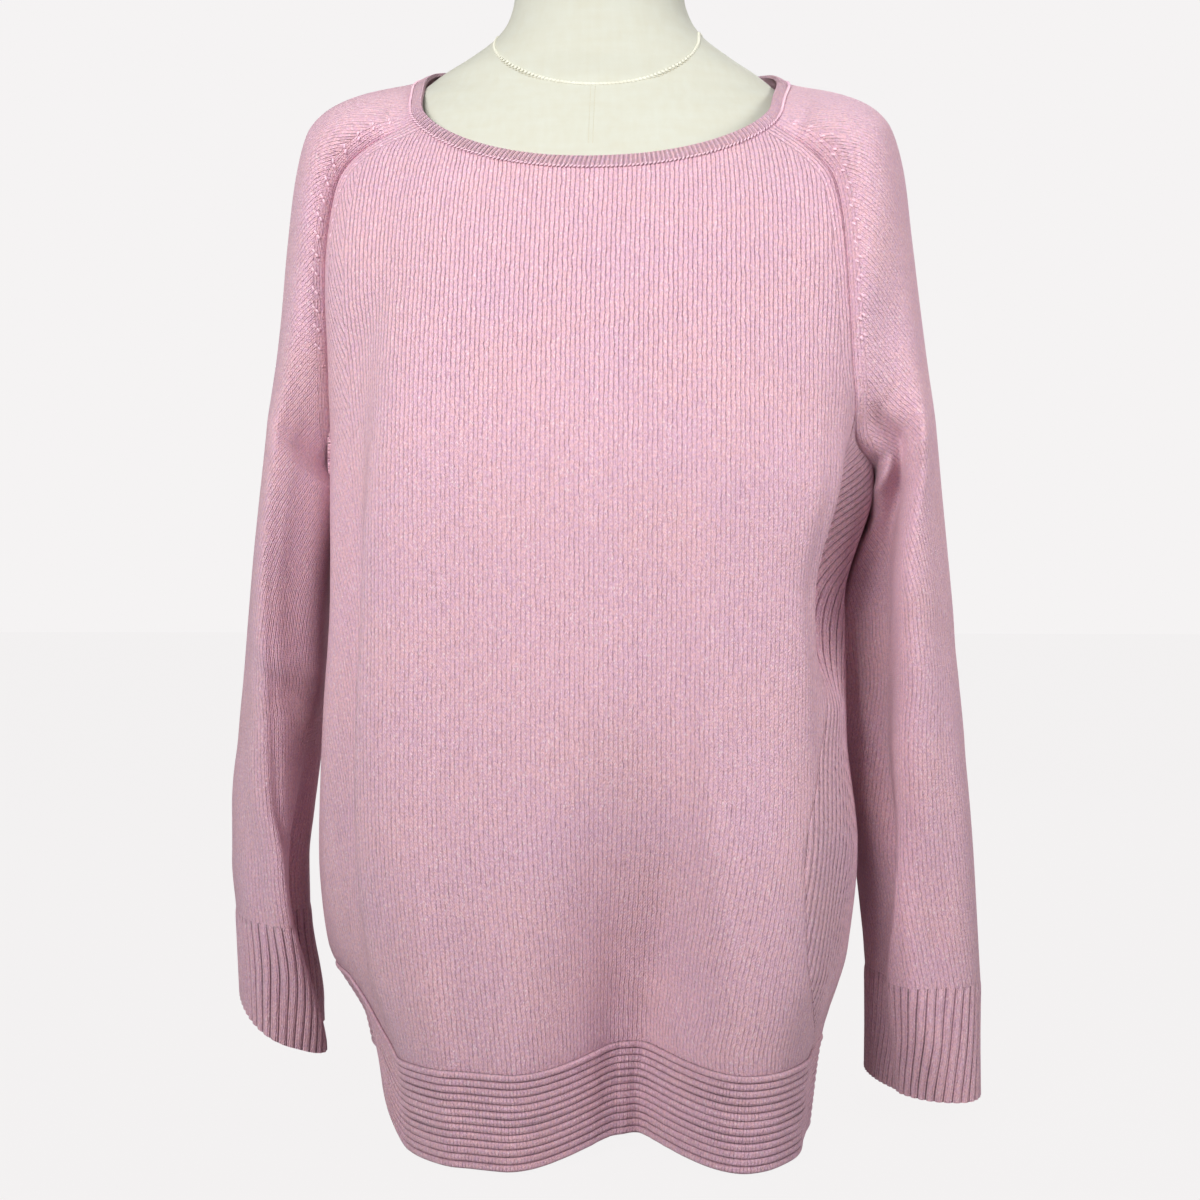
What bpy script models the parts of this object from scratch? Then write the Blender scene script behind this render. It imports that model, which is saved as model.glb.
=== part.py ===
"""Raglan cashmere sweater standing on a limbless dress form.

Metres, +Z up. The wearer's front faces -Y and +X is on the viewer's right. The origin is on the
underside of the form's base, so the part stands on z = 0. Every sewn piece is its own closed solid.
"""

import math
from collections import namedtuple

import bpy
import numpy as np

# ---------------------------------------------------------------------------------------------
# Driving sizes, metres
# ---------------------------------------------------------------------------------------------
CLOTH_WALL = 0.0020
BAND_WALL = 0.0026
SEAM_GAP = 0.0004

HEM_FOOT = 0.0025
HEM_HEIGHT = 0.0545
# How far the hem band rides up at the left side, and the places round the body between which it
# starts, is full, and ends again.
HEM_LIFT = 0.042
HEM_LIFT_PLACES = (-0.27, -0.38, -0.60, -0.86)
NECKBAND_HEIGHT = 0.0078
NECK_DIP = {"front": 0.0325, "back": -0.012}
SHOULDER_TILT = -0.032
CHEST_Z = 0.48
SHOULDER_Z = 0.62
NECK_Z = 0.69

PANEL_COLUMNS = 24
SLEEVE_COLUMNS = 18
BODY_ROWS = 9
CAP_WAYS = np.array([0.0, 0.09, 0.19, 0.30, 0.41, 0.52, 0.63, 0.74, 0.85, 0.90, 0.94, 0.97, 1.0])
CORNER_ROW = 8
TUBE_ROWS = 8
CUFF_ROWS = 3
HEM_ROWS = 2
NECKBAND_ROWS = 1

# Body outline at each height: how far it reaches left, right, to the front and to the back, the
# depth at which it is widest, and its squareness (2 is an ellipse).
Section = namedtuple("Section", "z left right front back middle square")
BODY = (
    Section(0.000, 0.137, 0.129, -0.119, 0.112, 0.005, 2.25),
    Section(0.057, 0.149, 0.138, -0.121, 0.115, 0.018, 2.30),
    Section(0.110, 0.170, 0.153, -0.120, 0.118, 0.020, 2.50),
    Section(0.170, 0.174, 0.158, -0.119, 0.118, 0.015, 2.60),
    Section(0.240, 0.171, 0.151, -0.117, 0.116, 0.010, 2.70),
    Section(0.320, 0.165, 0.150, -0.116, 0.114, 0.008, 2.80),
    Section(0.390, 0.164, 0.167, -0.117, 0.112, 0.008, 2.90),
    Section(0.450, 0.163, 0.165, -0.112, 0.110, 0.008, 3.00),
    Section(0.520, 0.166, 0.166, -0.098, 0.106, 0.008, 3.00),
    Section(0.570, 0.165, 0.165, -0.079, 0.097, 0.010, 2.90),
    Section(0.600, 0.160, 0.160, -0.064, 0.087, 0.010, 2.70),
    Section(0.660, 0.140, 0.140, -0.026, 0.068, 0.012, 2.40),
)

# Folds of the body: place round it (0 front centre, +1 and -1 back centre, + to the right) at the
# fold's head and foot, half its width there, how far it stands out (- is a trough), and the heights
# between which it grows, holds and fades.
Fold = namedtuple("Fold", "name head foot wide_head wide_foot out top full hold end")
BODY_FOLDS = (
    Fold("front_trough_left", 0.050, 0.013, 0.09, 0.120, -0.046, 0.270, 0.010, -0.10, -0.20),
    Fold("front_trough_right", 0.050, 0.103, 0.09, 0.120, -0.046, 0.270, 0.010, -0.10, -0.20),
    Fold("front_rise", 0.058, 0.058, 0.05, 0.050, 0.008, 0.270, 0.060, -0.10, -0.20),
    Fold("front_step", 0.115, 0.105, 0.06, 0.050, -0.010, 0.420, 0.010, -0.10, -0.20),
    Fold("right_lobe", 0.240, 0.250, 0.10, 0.130, 0.017, 0.300, 0.050, -0.10, -0.20),
    Fold("left_lobe", -0.170, -0.170, 0.10, 0.130, 0.006, 0.300, 0.050, -0.10, -0.20),
    Fold("right_tuck", 0.372, 0.385, 0.05, 0.075, -0.028, 0.440, 0.350, 0.320, 0.250),
    Fold("right_underarm", 0.520, 0.580, 0.10, 0.110, -0.013, 0.340, 0.270, 0.200, 0.110),
    Fold("left_underarm", -0.520, -0.520, 0.10, 0.130, -0.018, 0.404, 0.350, 0.240, 0.150),
    Fold("right_flap", 0.560, 0.560, 0.10, 0.110, -0.012, 0.160, 0.090, -0.10, -0.20),
    Fold("left_flank", -0.330, -0.420, 0.10, 0.110, -0.010, 0.140, 0.060, -0.10, -0.20),
    Fold("back_trough_right", 0.830, 0.800, 0.07, 0.100, -0.020, 0.330, 0.040, -0.10, -0.20),
    Fold("back_trough_left", -0.860, -0.880, 0.08, 0.110, -0.026, 0.420, 0.040, -0.10, -0.20),
)

# Seams of the body from the hem up: where the ribbed side panels begin and end, round the body.
# They end in the armholes' corners.
Seam = namedtuple("Seam", "z right_front right_back left_front left_back")
SIDE_SEAMS = (
    Seam(0.050, 0.385, 0.470, -0.560, -0.575),
    Seam(0.090, 0.300, 0.500, -0.552, -0.597),
    Seam(0.120, 0.275, 0.520, -0.545, -0.610),
    Seam(0.170, 0.270, 0.547, -0.533, -0.628),
    Seam(0.215, 0.310, 0.567, -0.520, -0.640),
    Seam(0.260, 0.352, 0.585, -0.505, -0.640),
    Seam(0.300, 0.366, 0.600, -0.490, -0.640),
    Seam(0.370, 0.368, 0.618, -0.450, -0.635),
)
Place = namedtuple("Place", "z around")

# Armholes from the neckband (0) to the underarm (1): the height and the place round the body.
Raglan = namedtuple("Raglan", "way front_z front back_z back")
RAGLAN_RIGHT = (
    Raglan(0.00, 0.5945, 0.272, 0.648, 0.770),
    Raglan(0.20, 0.5780, 0.310, 0.612, 0.715),
    Raglan(0.40, 0.5560, 0.337, 0.572, 0.672),
    Raglan(0.60, 0.5080, 0.342, 0.515, 0.645),
    Raglan(0.85, 0.4250, 0.365, 0.427, 0.630),
    Raglan(0.93, 0.4020, 0.420, 0.402, 0.605),
    Raglan(1.00, 0.3860, 0.520, 0.386, 0.520),
)
RAGLAN_LEFT = (
    Raglan(0.00, 0.6020, -0.276, 0.654, -0.770),
    Raglan(0.20, 0.5860, -0.340, 0.618, -0.715),
    Raglan(0.40, 0.5620, -0.380, 0.576, -0.672),
    Raglan(0.60, 0.5120, -0.390, 0.518, -0.645),
    Raglan(0.85, 0.4250, -0.410, 0.427, -0.630),
    Raglan(0.93, 0.4020, -0.450, 0.402, -0.605),
    Raglan(1.00, 0.3860, -0.510, 0.386, -0.510),
)

RAGLANS = {"right": RAGLAN_RIGHT, "left": RAGLAN_LEFT}
SIGN = {"right": 1.0, "left": -1.0}

# Sleeve over the shoulder: the line along its top and outer side, and half its depth.
Cap = namedtuple("Cap", "way right left y z depth_right depth_left")
CAP = (
    Cap(0.00, 0.117, 0.117, 0.008, 0.6410, 0.060, 0.060),
    Cap(0.15, 0.139, 0.140, 0.008, 0.6370, 0.070, 0.068),
    Cap(0.30, 0.161, 0.162, 0.008, 0.6280, 0.077, 0.074),
    Cap(0.42, 0.177, 0.179, 0.008, 0.6120, 0.080, 0.076),
    Cap(0.52, 0.186, 0.188, 0.009, 0.5820, 0.080, 0.075),
    Cap(0.65, 0.191, 0.194, 0.010, 0.5400, 0.079, 0.072),
    Cap(0.80, 0.197, 0.199, 0.011, 0.4900, 0.077, 0.070),
    Cap(1.00, 0.205, 0.207, 0.012, 0.4250, 0.075, 0.070),
)

# Sleeve below the underarm, and its cuff: inner and outer lines, half the depth across them, and how
# far the front edge leans in and dips below the back one for each metre of that depth.
Tube = namedtuple("Tube", "way inner_x inner_y inner_z outer_x outer_y outer_z half_depth lean dip")
TUBE_RIGHT = (
    Tube(0.00, 0.1630, 0.012, 0.3860, 0.2050, 0.012, 0.4250, 0.075, 0.00, 0.0),
    Tube(0.10, 0.1620, 0.020, 0.3500, 0.2090, 0.012, 0.3850, 0.073, 0.00, 0.0),
    Tube(0.20, 0.1535, 0.034, 0.3150, 0.2130, 0.012, 0.3450, 0.072, 0.00, 0.0),
    Tube(0.45, 0.1500, 0.046, 0.2350, 0.2220, 0.014, 0.2500, 0.062, 0.00, 0.0),
    Tube(0.70, 0.1590, 0.044, 0.1600, 0.2290, 0.022, 0.1640, 0.055, -0.08, 0.0),
    Tube(1.00, 0.1680, 0.034, 0.0860, 0.2330, 0.036, 0.0860, 0.053, -0.18, 0.0),
)
TUBE_LEFT = (
    Tube(0.00, 0.1620, 0.012, 0.3860, 0.2070, 0.012, 0.4250, 0.070, 0.00, 0.0),
    Tube(0.20, 0.1720, 0.012, 0.3250, 0.2145, 0.012, 0.3550, 0.068, 0.00, 0.0),
    Tube(0.45, 0.1775, 0.012, 0.2550, 0.2245, 0.009, 0.2700, 0.062, 0.06, 0.0),
    Tube(0.70, 0.1845, 0.014, 0.1850, 0.2340, 0.006, 0.1900, 0.057, 0.16, 0.0),
    Tube(0.85, 0.1875, 0.014, 0.1540, 0.2340, 0.004, 0.1580, 0.056, 0.20, 0.03),
    Tube(1.00, 0.1870, 0.014, 0.1240, 0.2310, 0.003, 0.1280, 0.056, 0.20, 0.05),
)
Cuff = Tube
CUFF_RIGHT = (
    Cuff(0.00, 0.1680, 0.034, 0.0860, 0.2330, 0.036, 0.0860, 0.053, -0.18, 0.0),
    Cuff(1.00, 0.1740, 0.030, 0.0160, 0.2260, 0.046, 0.0160, 0.053, -0.42, 0.0),
)
CUFF_LEFT = (
    Cuff(0.00, 0.1870, 0.014, 0.1240, 0.2310, 0.003, 0.1280, 0.056, 0.20, 0.05),
    Cuff(1.00, 0.1820, 0.014, 0.0470, 0.2280, 0.000, 0.0740, 0.055, 0.26, 0.16),
)
TUBES = {"right": TUBE_RIGHT, "left": TUBE_LEFT}
CUFFS = {"right": CUFF_RIGHT, "left": CUFF_LEFT}
JOINING_WAY = 0.25
SEAM_REACH = 0.30
UPRIGHT = np.array([0.0, 1.0, 1.0])
STRAIGHT_AHEAD = np.array([0.0, -1.0, 0.0])

# Folds of the sleeves: here the place is the angle round the sleeve, in degrees, from its inner side
# over its front edge, and the fold stands out towards the front.
SLEEVE_FOLDS = {
    "right": (
        Fold("front_valley", 140.0, 50.0, 32.0, 40.0, -0.022, 0.580, 0.330, 0.280, 0.150),
        Fold("front_crease", 55.0, 50.0, 40.0, 40.0, 0.010, 0.200, 0.110, 0.060, 0.000),
    ),
    "left": (
        Fold("pressed_ridge", 115.0, 60.0, 35.0, 35.0, 0.006, 0.600, 0.200, 0.150, 0.060),
    ),
}

# Dress form: same columns as the body's sections.
FORM = (
    Section(0.040, 0.096, 0.096, -0.036, 0.070, 0.018, 2.3),
    Section(0.110, 0.116, 0.116, -0.046, 0.078, 0.018, 2.3),
    Section(0.190, 0.124, 0.118, -0.066, 0.082, 0.012, 2.3),
    Section(0.270, 0.110, 0.106, -0.074, 0.070, 0.004, 2.3),
    Section(0.350, 0.116, 0.110, -0.096, 0.074, 0.000, 2.4),
    Section(0.410, 0.126, 0.122, -0.106, 0.080, 0.000, 2.4),
    Section(0.480, 0.134, 0.134, -0.097, 0.086, 0.002, 2.4),
    Section(0.540, 0.144, 0.144, -0.080, 0.088, 0.005, 2.4),
    Section(0.580, 0.150, 0.150, -0.066, 0.080, 0.008, 2.3),
    Section(0.606, 0.148, 0.148, -0.055, 0.070, 0.010, 2.2),
    Section(0.622, 0.134, 0.132, -0.048, 0.060, 0.010, 2.0),
    Section(0.631, 0.117, 0.115, -0.045, 0.056, 0.010, 2.0),
    Section(0.642, 0.102, 0.100, -0.045, 0.056, 0.010, 2.0),
    Section(0.652, 0.086, 0.084, -0.043, 0.055, 0.010, 2.0),
    Section(0.6658, 0.067, 0.065, -0.041, 0.054, 0.009, 2.0),
    Section(0.678, 0.058, 0.056, -0.040, 0.053, 0.008, 2.0),
    Section(0.692, 0.054, 0.052, -0.040, 0.052, 0.007, 2.0),
    Section(0.712, 0.053, 0.052, -0.042, 0.052, 0.006, 2.0),
)
FORM_COLUMNS = 32
FORM_LEVELS = (0.040, 0.075, 0.110, 0.150, 0.190, 0.230, 0.270, 0.310, 0.350, 0.380, 0.410, 0.445,
               0.480, 0.510, 0.540, 0.562, 0.580, 0.594, 0.606, 0.617, 0.626, 0.634, 0.642, 0.650,
               0.660, 0.672, 0.690, 0.712)
CAP_PROFILE = ((1.0, 0.0), (1.0, 0.004), (0.94, 0.008), (0.80, 0.0105), (0.45, 0.0125), (0.15, 0.0130))
BASE = (
    Section(0.0000, 0.098, 0.098, -0.034, 0.070, 0.018, 2.6),
    Section(0.0396, 0.096, 0.096, -0.034, 0.068, 0.018, 2.4),
)

KNIT_PINK = (0.72, 0.46, 0.56)
LINEN = (0.82, 0.80, 0.72)
CAP_WHITE = (0.75, 0.73, 0.66)
BASE_WOOD = (0.36, 0.22, 0.12)

OUTLINE_STEPS = 240
NECKBAND_SMOOTHING = 4
NECKBAND_RISE = 0.35
MATCH = 2e-5
SHARP_ANGLE = 40.0
SHARPEST_CORNER = 0.25


# ---------------------------------------------------------------------------------------------
# Curves through the tables
# ---------------------------------------------------------------------------------------------
def smooth(table, column, at):
    """One column of a table at the given places, on a curve that never overshoots its rows."""
    place = np.array([row[0] for row in table])
    value = np.array([getattr(row, column) for row in table])
    step = np.diff(place)
    rise = np.diff(value) / step
    slope = np.concatenate(([rise[0]], np.zeros(len(rise) - 1), [rise[-1]]))
    for i in range(1, len(rise)):
        if rise[i - 1] * rise[i] > 0:
            slope[i] = 2.0 * rise[i - 1] * rise[i] / (rise[i - 1] + rise[i])
    at = np.clip(at, place[0], place[-1])
    i = np.clip(np.searchsorted(place, at) - 1, 0, len(step) - 1)
    t = (at - place[i]) / step[i]
    start = (1 + 2 * t) * (1 - t) ** 2 * value[i] + t * (1 - t) ** 2 * step[i] * slope[i]
    end = t * t * (3 - 2 * t) * value[i + 1] + t * t * (t - 1) * step[i] * slope[i + 1]
    return start + end


def ease(t):
    """Smooth step from 0 to 1."""
    t = np.clip(t, 0.0, 1.0)
    return t * t * (3.0 - 2.0 * t)


def unit(vectors):
    """Vectors scaled to length 1."""
    return vectors / np.maximum(np.linalg.norm(vectors, axis=-1, keepdims=True), 1e-12)


# ---------------------------------------------------------------------------------------------
# The body's surface
# ---------------------------------------------------------------------------------------------
def outline(sections, around, z):
    """Points and outward normals on a sectioned form; around runs -1..1, 0 is the front centre."""
    half_turn = np.linspace(0.0, math.pi, OUTLINE_STEPS + 1)
    power = (2.0 / smooth(sections, "square", z))[:, None]
    reach = np.where(around >= 0, smooth(sections, "right", z), smooth(sections, "left", z))[:, None]
    middle = smooth(sections, "middle", z)[:, None]
    ahead = middle - smooth(sections, "front", z)[:, None]
    behind = smooth(sections, "back", z)[:, None] - middle
    sine = np.abs(np.sin(half_turn))[None, :] ** power
    cosine = np.abs(np.cos(half_turn))[None, :] ** power
    x = reach * sine
    y = middle + np.where(half_turn[None, :] < math.pi / 2, -ahead * cosine, behind * cosine)
    length = np.hypot(np.diff(x, axis=1), np.diff(y, axis=1))
    run = np.concatenate([np.zeros((len(z), 1)), np.cumsum(length, axis=1)], axis=1)
    target = np.abs(around) * run[:, -1]
    step = np.clip((run <= target[:, None]).sum(axis=1) - 1, 0, OUTLINE_STEPS - 1)
    rows = np.arange(len(z))
    t = (target - run[rows, step]) / np.maximum(run[rows, step + 1] - run[rows, step], 1e-9)
    side = np.where(around >= 0, 1.0, -1.0)
    px = x[rows, step] * (1 - t) + x[rows, step + 1] * t
    py = y[rows, step] * (1 - t) + y[rows, step + 1] * t
    along_x = x[rows, step + 1] - x[rows, step]
    along_y = y[rows, step + 1] - y[rows, step]
    points = np.stack([side * px, py, z], axis=1)
    normals = unit(np.stack([side * along_y, -along_x, np.zeros(len(z))], axis=1))
    return points, normals


def fold_depth(folds, around, z):
    """How far the folds lift the cloth off its plain outline."""
    out = np.zeros(len(z))
    for fold in folds:
        down = np.clip((fold.top - z) / (fold.top - fold.full), 0.0, 1.0)
        middle = fold.head + (fold.foot - fold.head) * down
        width = fold.wide_head + (fold.wide_foot - fold.wide_head) * down
        across = np.clip(np.abs(around - middle) / width, 0.0, 1.0)
        fade = ease((z - fold.end) / (fold.hold - fold.end))
        out += fold.out * np.cos(across * math.pi / 2) ** 2 * ease(down) * fade
    return out


def body(around, z):
    """Outer surface of the sweater's body."""
    around, z = np.broadcast_arrays(np.asarray(around, float), np.asarray(z, float))
    shape = around.shape
    around, z = around.ravel(), z.ravel()
    points, normals = outline(BODY, around, z)
    points = points + normals * fold_depth(BODY_FOLDS, around, z)[:, None]
    return points.reshape(shape + (3,))


def hem_top(around):
    """Height of the seam between the hem band and the panels; it rides up at the left."""
    return HEM_FOOT + HEM_HEIGHT + hem_lift(around)


def hem_lift(around):
    """How far the hem band rides up round the body."""
    around = np.asarray(around, float)
    start, full, hold, end = HEM_LIFT_PLACES
    return HEM_LIFT * ease((start - around) / (start - full)) * ease((around - end) / (hold - end))


# ---------------------------------------------------------------------------------------------
# Grids of the sewn pieces. Columns run round the body as seen from outside, rows run up it;
# a sleeve's rows run from the neckband to the cuff.
# ---------------------------------------------------------------------------------------------
def armhole(side, way):
    """Front and back armhole seams at the given ways from the neckband to the underarm."""
    table = RAGLANS[side]
    front = body(smooth(table, "front", way), smooth(table, "front_z", way))
    back = body(smooth(table, "back", way), smooth(table, "back_z", way))
    return front, back


def wrapped(around):
    """Places past the back centre, brought back into -1..1."""
    return np.where(around > 1.0, around - 2.0, around)


def panel(half):
    """Front or back panel: up between the side seams, then between the armholes."""
    columns = PANEL_COLUMNS
    across = np.linspace(0.0, 1.0, columns + 1)
    first, last = ("left", "right") if half == "front" else ("right", "left")
    lap = 0.0 if half == "front" else 2.0
    rows = []

    def places(at_first, at_last):
        return at_first + (at_last + lap - at_first) * across

    corner = CAP_WAYS[CORNER_ROW]
    corner_z = edge_level(half, corner, first, last, across)
    for t in np.arange(BODY_ROWS) / BODY_ROWS:
        ends = [seam_place(side, half, t) for side in (first, last)]
        around = wrapped(places(*ends))
        foot = hem_top(around)
        rows.append(body(around, foot + (corner_z - foot) * t))
    for way in CAP_WAYS[CORNER_ROW::-1]:
        ends = [smooth(RAGLANS[side], half, way) for side in (first, last)]
        dip = NECK_DIP[half] * ease(1.0 - way / corner) * (1.0 - np.abs(2.0 * across - 1.0) ** 2.3)
        rows.append(body(wrapped(places(*ends)), edge_level(half, way, first, last, across) - dip))
    return np.array(rows)


def edge_level(half, way, first, last, across):
    """Height across a panel between its two armhole seams."""
    start, end = (smooth(RAGLANS[side], half + "_z", way) for side in (first, last))
    return start + (end - start) * across


def seam_place(side, half, t):
    """Place of a side seam round the body, t of the way from the hem band to the armhole."""
    corner_z = smooth(RAGLANS[side], half + "_z", CAP_WAYS[CORNER_ROW])
    corner = smooth(RAGLANS[side], half, CAP_WAYS[CORNER_ROW])
    seam = [Place(row.z, getattr(row, side + "_" + half)) for row in SIDE_SEAMS]
    seam.append(Place(corner_z, corner))
    foot = hem_top(seam[0].around)
    return smooth(seam, "around", foot + (corner_z - foot) * t)


def side_panel(side):
    """Ribbed side panel: narrow at the hem band, its top edge round the underarm."""
    ways = CAP_WAYS[CORNER_ROW:]
    table = RAGLANS[side]
    head = np.concatenate([smooth(table, "front", ways), smooth(table, "back", ways)[-2::-1]])
    head_z = np.concatenate([smooth(table, "front_z", ways), smooth(table, "back_z", ways)[-2::-1]])
    if side == "left":
        head, head_z = head[::-1], head_z[::-1]
    share = (head - head[0]) / (head[-1] - head[0])
    even = np.linspace(0.0, 1.0, len(head))
    first, last = ("front", "back") if side == "right" else ("back", "front")
    rows = []
    for t in np.arange(BODY_ROWS + 1) / BODY_ROWS:
        start, end = seam_place(side, first, t), seam_place(side, last, t)
        around = start + (end - start) * (even + (share - even) * t)
        foot = hem_top(around)
        rows.append(body(around, foot + (head_z - foot) * t))
    return np.array(rows)


def oval(front_seam, back_seam, ridge, half_depth, ahead, turns, folds):
    """Points round a sleeve, from its front seam over its outer line to its back seam."""
    middle = (front_seam + back_seam) / 2
    between = (front_seam - back_seam) * UPRIGHT
    span = np.linalg.norm(between) / 2
    half_depth = max(half_depth, span * 1.0001)
    opening = math.asin(span / half_depth)
    reach = (ridge - middle) / (1.0 + math.cos(opening))
    ahead = unit(between) if span > 0.0 else unit(ahead)
    turn = opening + (2 * math.pi - 2 * opening) * turns
    centre = ridge - reach
    points = centre - np.outer(np.cos(turn), reach) + half_depth * np.outer(np.sin(turn), ahead)
    points = points + np.outer(fold_depth(folds, np.degrees(turn), points[:, 2]), ahead)
    near_front, near_back = ease(1.0 - turns / SEAM_REACH), ease(1.0 - (1.0 - turns) / SEAM_REACH)
    points += np.outer(near_front, front_seam - points[0]) + np.outer(near_back, back_seam - points[-1])
    return points


def sleeve(side):
    """Sleeve from the neckband over the shoulder to the cuff."""
    turns = np.linspace(0.0, 1.0, SLEEVE_COLUMNS + 1)
    front, back = armhole(side, CAP_WAYS)
    rows = []
    for i, way in enumerate(CAP_WAYS):
        ridge = cap_ridge(side, way)
        depth = smooth(CAP, "depth_" + side, way)
        rows.append(oval(front[i], back[i], ridge, depth, STRAIGHT_AHEAD, turns, SLEEVE_FOLDS[side]))
    underarm = front[-1]
    head = cap_ridge(side, 1.0)
    for way in np.arange(1, TUBE_ROWS + 1) / TUBE_ROWS:
        rows.append(tube_row(TUBES[side], side, way, underarm, head, turns))
    return np.array(rows)


def cap_ridge(side, way):
    """Point on the line over the shoulder and down the arm; the left shoulder hangs higher."""
    x = SIGN[side] * smooth(CAP, side, way)
    z = smooth(CAP, "z", way) + SHOULDER_TILT * x * (1.0 - way)
    return np.array([x, smooth(CAP, "y", way), z])


def tube_row(table, side, way, underarm, head, turns):
    """One row round a sleeve or cuff; near the armhole it joins the cap's last row."""
    mirror = np.array([SIGN[side], 1.0, 1.0])
    inner, outer = tube_lines(table, way, mirror)
    if underarm is not None:
        first_inner, first_outer = tube_lines(table, 0.0, mirror)
        blend = 1.0 - ease(way / JOINING_WAY)
        inner = inner + (underarm - first_inner) * blend
        outer = outer + (head - first_outer) * blend
    depth, lean, dip = (smooth(table, column, way) for column in ("half_depth", "lean", "dip"))
    ahead = STRAIGHT_AHEAD - np.array([SIGN[side] * lean, 0.0, dip])
    return oval(inner, inner, outer, depth, ahead, turns, SLEEVE_FOLDS[side])


def tube_lines(table, way, mirror):
    """Inner and outer points of a sleeve at one way down it."""
    inner = np.array([smooth(table, "inner_" + axis, way) for axis in "xyz"]) * mirror
    outer = np.array([smooth(table, "outer_" + axis, way) for axis in "xyz"]) * mirror
    return inner, outer


def cuff(side):
    """Ribbed cuff below the sleeve's last row."""
    turns = np.linspace(0.0, 1.0, SLEEVE_COLUMNS + 1)
    return np.array([tube_row(CUFFS[side], side, way, None, None, turns)
                     for way in np.arange(CUFF_ROWS + 1) / CUFF_ROWS])


def hem_places():
    """Places round the body of the columns of the four pieces above the hem band."""
    across = np.linspace(0.0, 1.0, PANEL_COLUMNS + 1)[:-1]
    gusset = np.linspace(0.0, 1.0, 2 * (len(CAP_WAYS) - 1 - CORNER_ROW) + 1)[:-1]
    right_front, right_back = seam_place("right", "front", 0.0), seam_place("right", "back", 0.0)
    left_back, left_front = seam_place("left", "back", 0.0) + 2.0, seam_place("left", "front", 0.0) + 2.0
    around = np.concatenate([
        left_front - 2.0 + (right_front - left_front + 2.0) * across,
        right_front + (right_back - right_front) * gusset,
        right_back + (left_back - right_back) * across,
        left_back + (left_front - left_back) * gusset,
    ])
    return wrapped(around)


def hem_band():
    """Deep ridged band round the hem."""
    around = hem_places()
    levels = np.linspace(0.0, 1.0, HEM_ROWS + 1)[:, None]
    return body(around[None, :], HEM_FOOT + hem_lift(around)[None, :] + HEM_HEIGHT * levels)


def neckband(front, right_sleeve, back, left_sleeve):
    """Narrow band round the neckline, carried on from the edges of the four pieces below it."""
    edge = np.concatenate([front[-1][:-1], right_sleeve[0][:-1], back[-1][:-1], left_sleeve[0][::-1][:-1]])
    below = np.concatenate([front[-2][:-1], right_sleeve[1][:-1], back[-2][:-1], left_sleeve[1][::-1][:-1]])
    lead = unit(edge - below)
    lead[:, 2] += NECKBAND_RISE
    for _ in range(NECKBAND_SMOOTHING):
        lead = unit(np.roll(lead, 1, axis=0) + 2.0 * lead + np.roll(lead, -1, axis=0))
    levels = np.linspace(0.0, 1.0, NECKBAND_ROWS + 1)[:, None, None]
    return edge[None] + lead[None] * NECKBAND_HEIGHT * levels


# ---------------------------------------------------------------------------------------------
# Solids from grids
# ---------------------------------------------------------------------------------------------
class Piece:
    """Outer surface of one sewn piece: points, outward faces, and a wall thickness."""

    def __init__(self, name, grid, wall, closed=False, joined_from=None, flip=False):
        rows, columns = grid.shape[:2]
        self.name = name
        self.wall = wall
        index = np.arange(rows * columns).reshape(rows, columns)
        if joined_from is not None:
            index[joined_from:, -1] = index[joined_from:, 0]
        used, index = np.unique(index, return_inverse=True)
        index = index.reshape(rows, columns)
        self.points = grid.reshape(-1, 3)[used]
        if closed:
            index = np.concatenate([index, index[:, :1]], axis=1)
        quads = np.stack([index[:-1, :-1], index[:-1, 1:], index[1:, 1:], index[1:, :-1]], axis=-1)
        quads = quads.reshape(-1, 4)
        quads = quads[:, ::-1] if flip else quads
        self.faces = [tuple(dict.fromkeys(quad.tolist())) for quad in quads]
        self.rim = self.open_edges()
        self.leads = [key_of(self.points[a]) < key_of(self.points[b]) for a, b in self.rim]
        self.normals = self.vertex_normals()

    def open_edges(self):
        """Edges with one face, in that face's direction."""
        edges = {(face[i], face[(i + 1) % len(face)]) for face in self.faces for i in range(len(face))}
        return sorted(edge for edge in edges if edge[::-1] not in edges)

    def vertex_normals(self):
        """Average outward direction of the faces at each point."""
        normals = np.zeros_like(self.points)
        for face in self.faces:
            a, b, c, d = (self.points[face[i % len(face)]] for i in range(4))
            across = np.cross(c - a, d - b) if len(face) == 4 else np.cross(b - a, c - a)
            for vertex in face:
                normals[vertex] += across
        return unit(normals)

    def draw_back(self, seams):
        """Moves each sewn edge back by half the seam's gap, further in its sharp corners."""
        back = np.zeros_like(self.points)
        for a, b in self.rim:
            inward = np.cross(self.normals[a] + self.normals[b], self.points[b] - self.points[a])
            back[a] += unit(inward)
            back[b] += unit(inward)
        for vertex in {vertex for edge in self.rim for vertex in edge}:
            if len(seams[key_of(self.points[vertex])]) > 1:
                size = max(back[vertex] @ back[vertex], SHARPEST_CORNER)
                self.points[vertex] += back[vertex] * SEAM_GAP / size

    def solid(self):
        """Closed mesh: outer skin, inner skin and rim, split the same way on both sides of a seam."""
        count = len(self.points)
        inner = self.points - self.normals * self.wall
        faces = list(self.faces) + [tuple(v + count for v in face[::-1]) for face in self.faces]
        for (a, b), leads in zip(self.rim, self.leads):
            if leads:
                faces += [(b, a, b + count), (a, a + count, b + count)]
            else:
                faces += [(b, a, a + count), (b, a + count, b + count)]
        return np.concatenate([self.points, inner]), faces


def key_of(point):
    """Grid cell of a point, so that points on one seam are found together."""
    return tuple(np.round(point / MATCH).astype(int))


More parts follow.
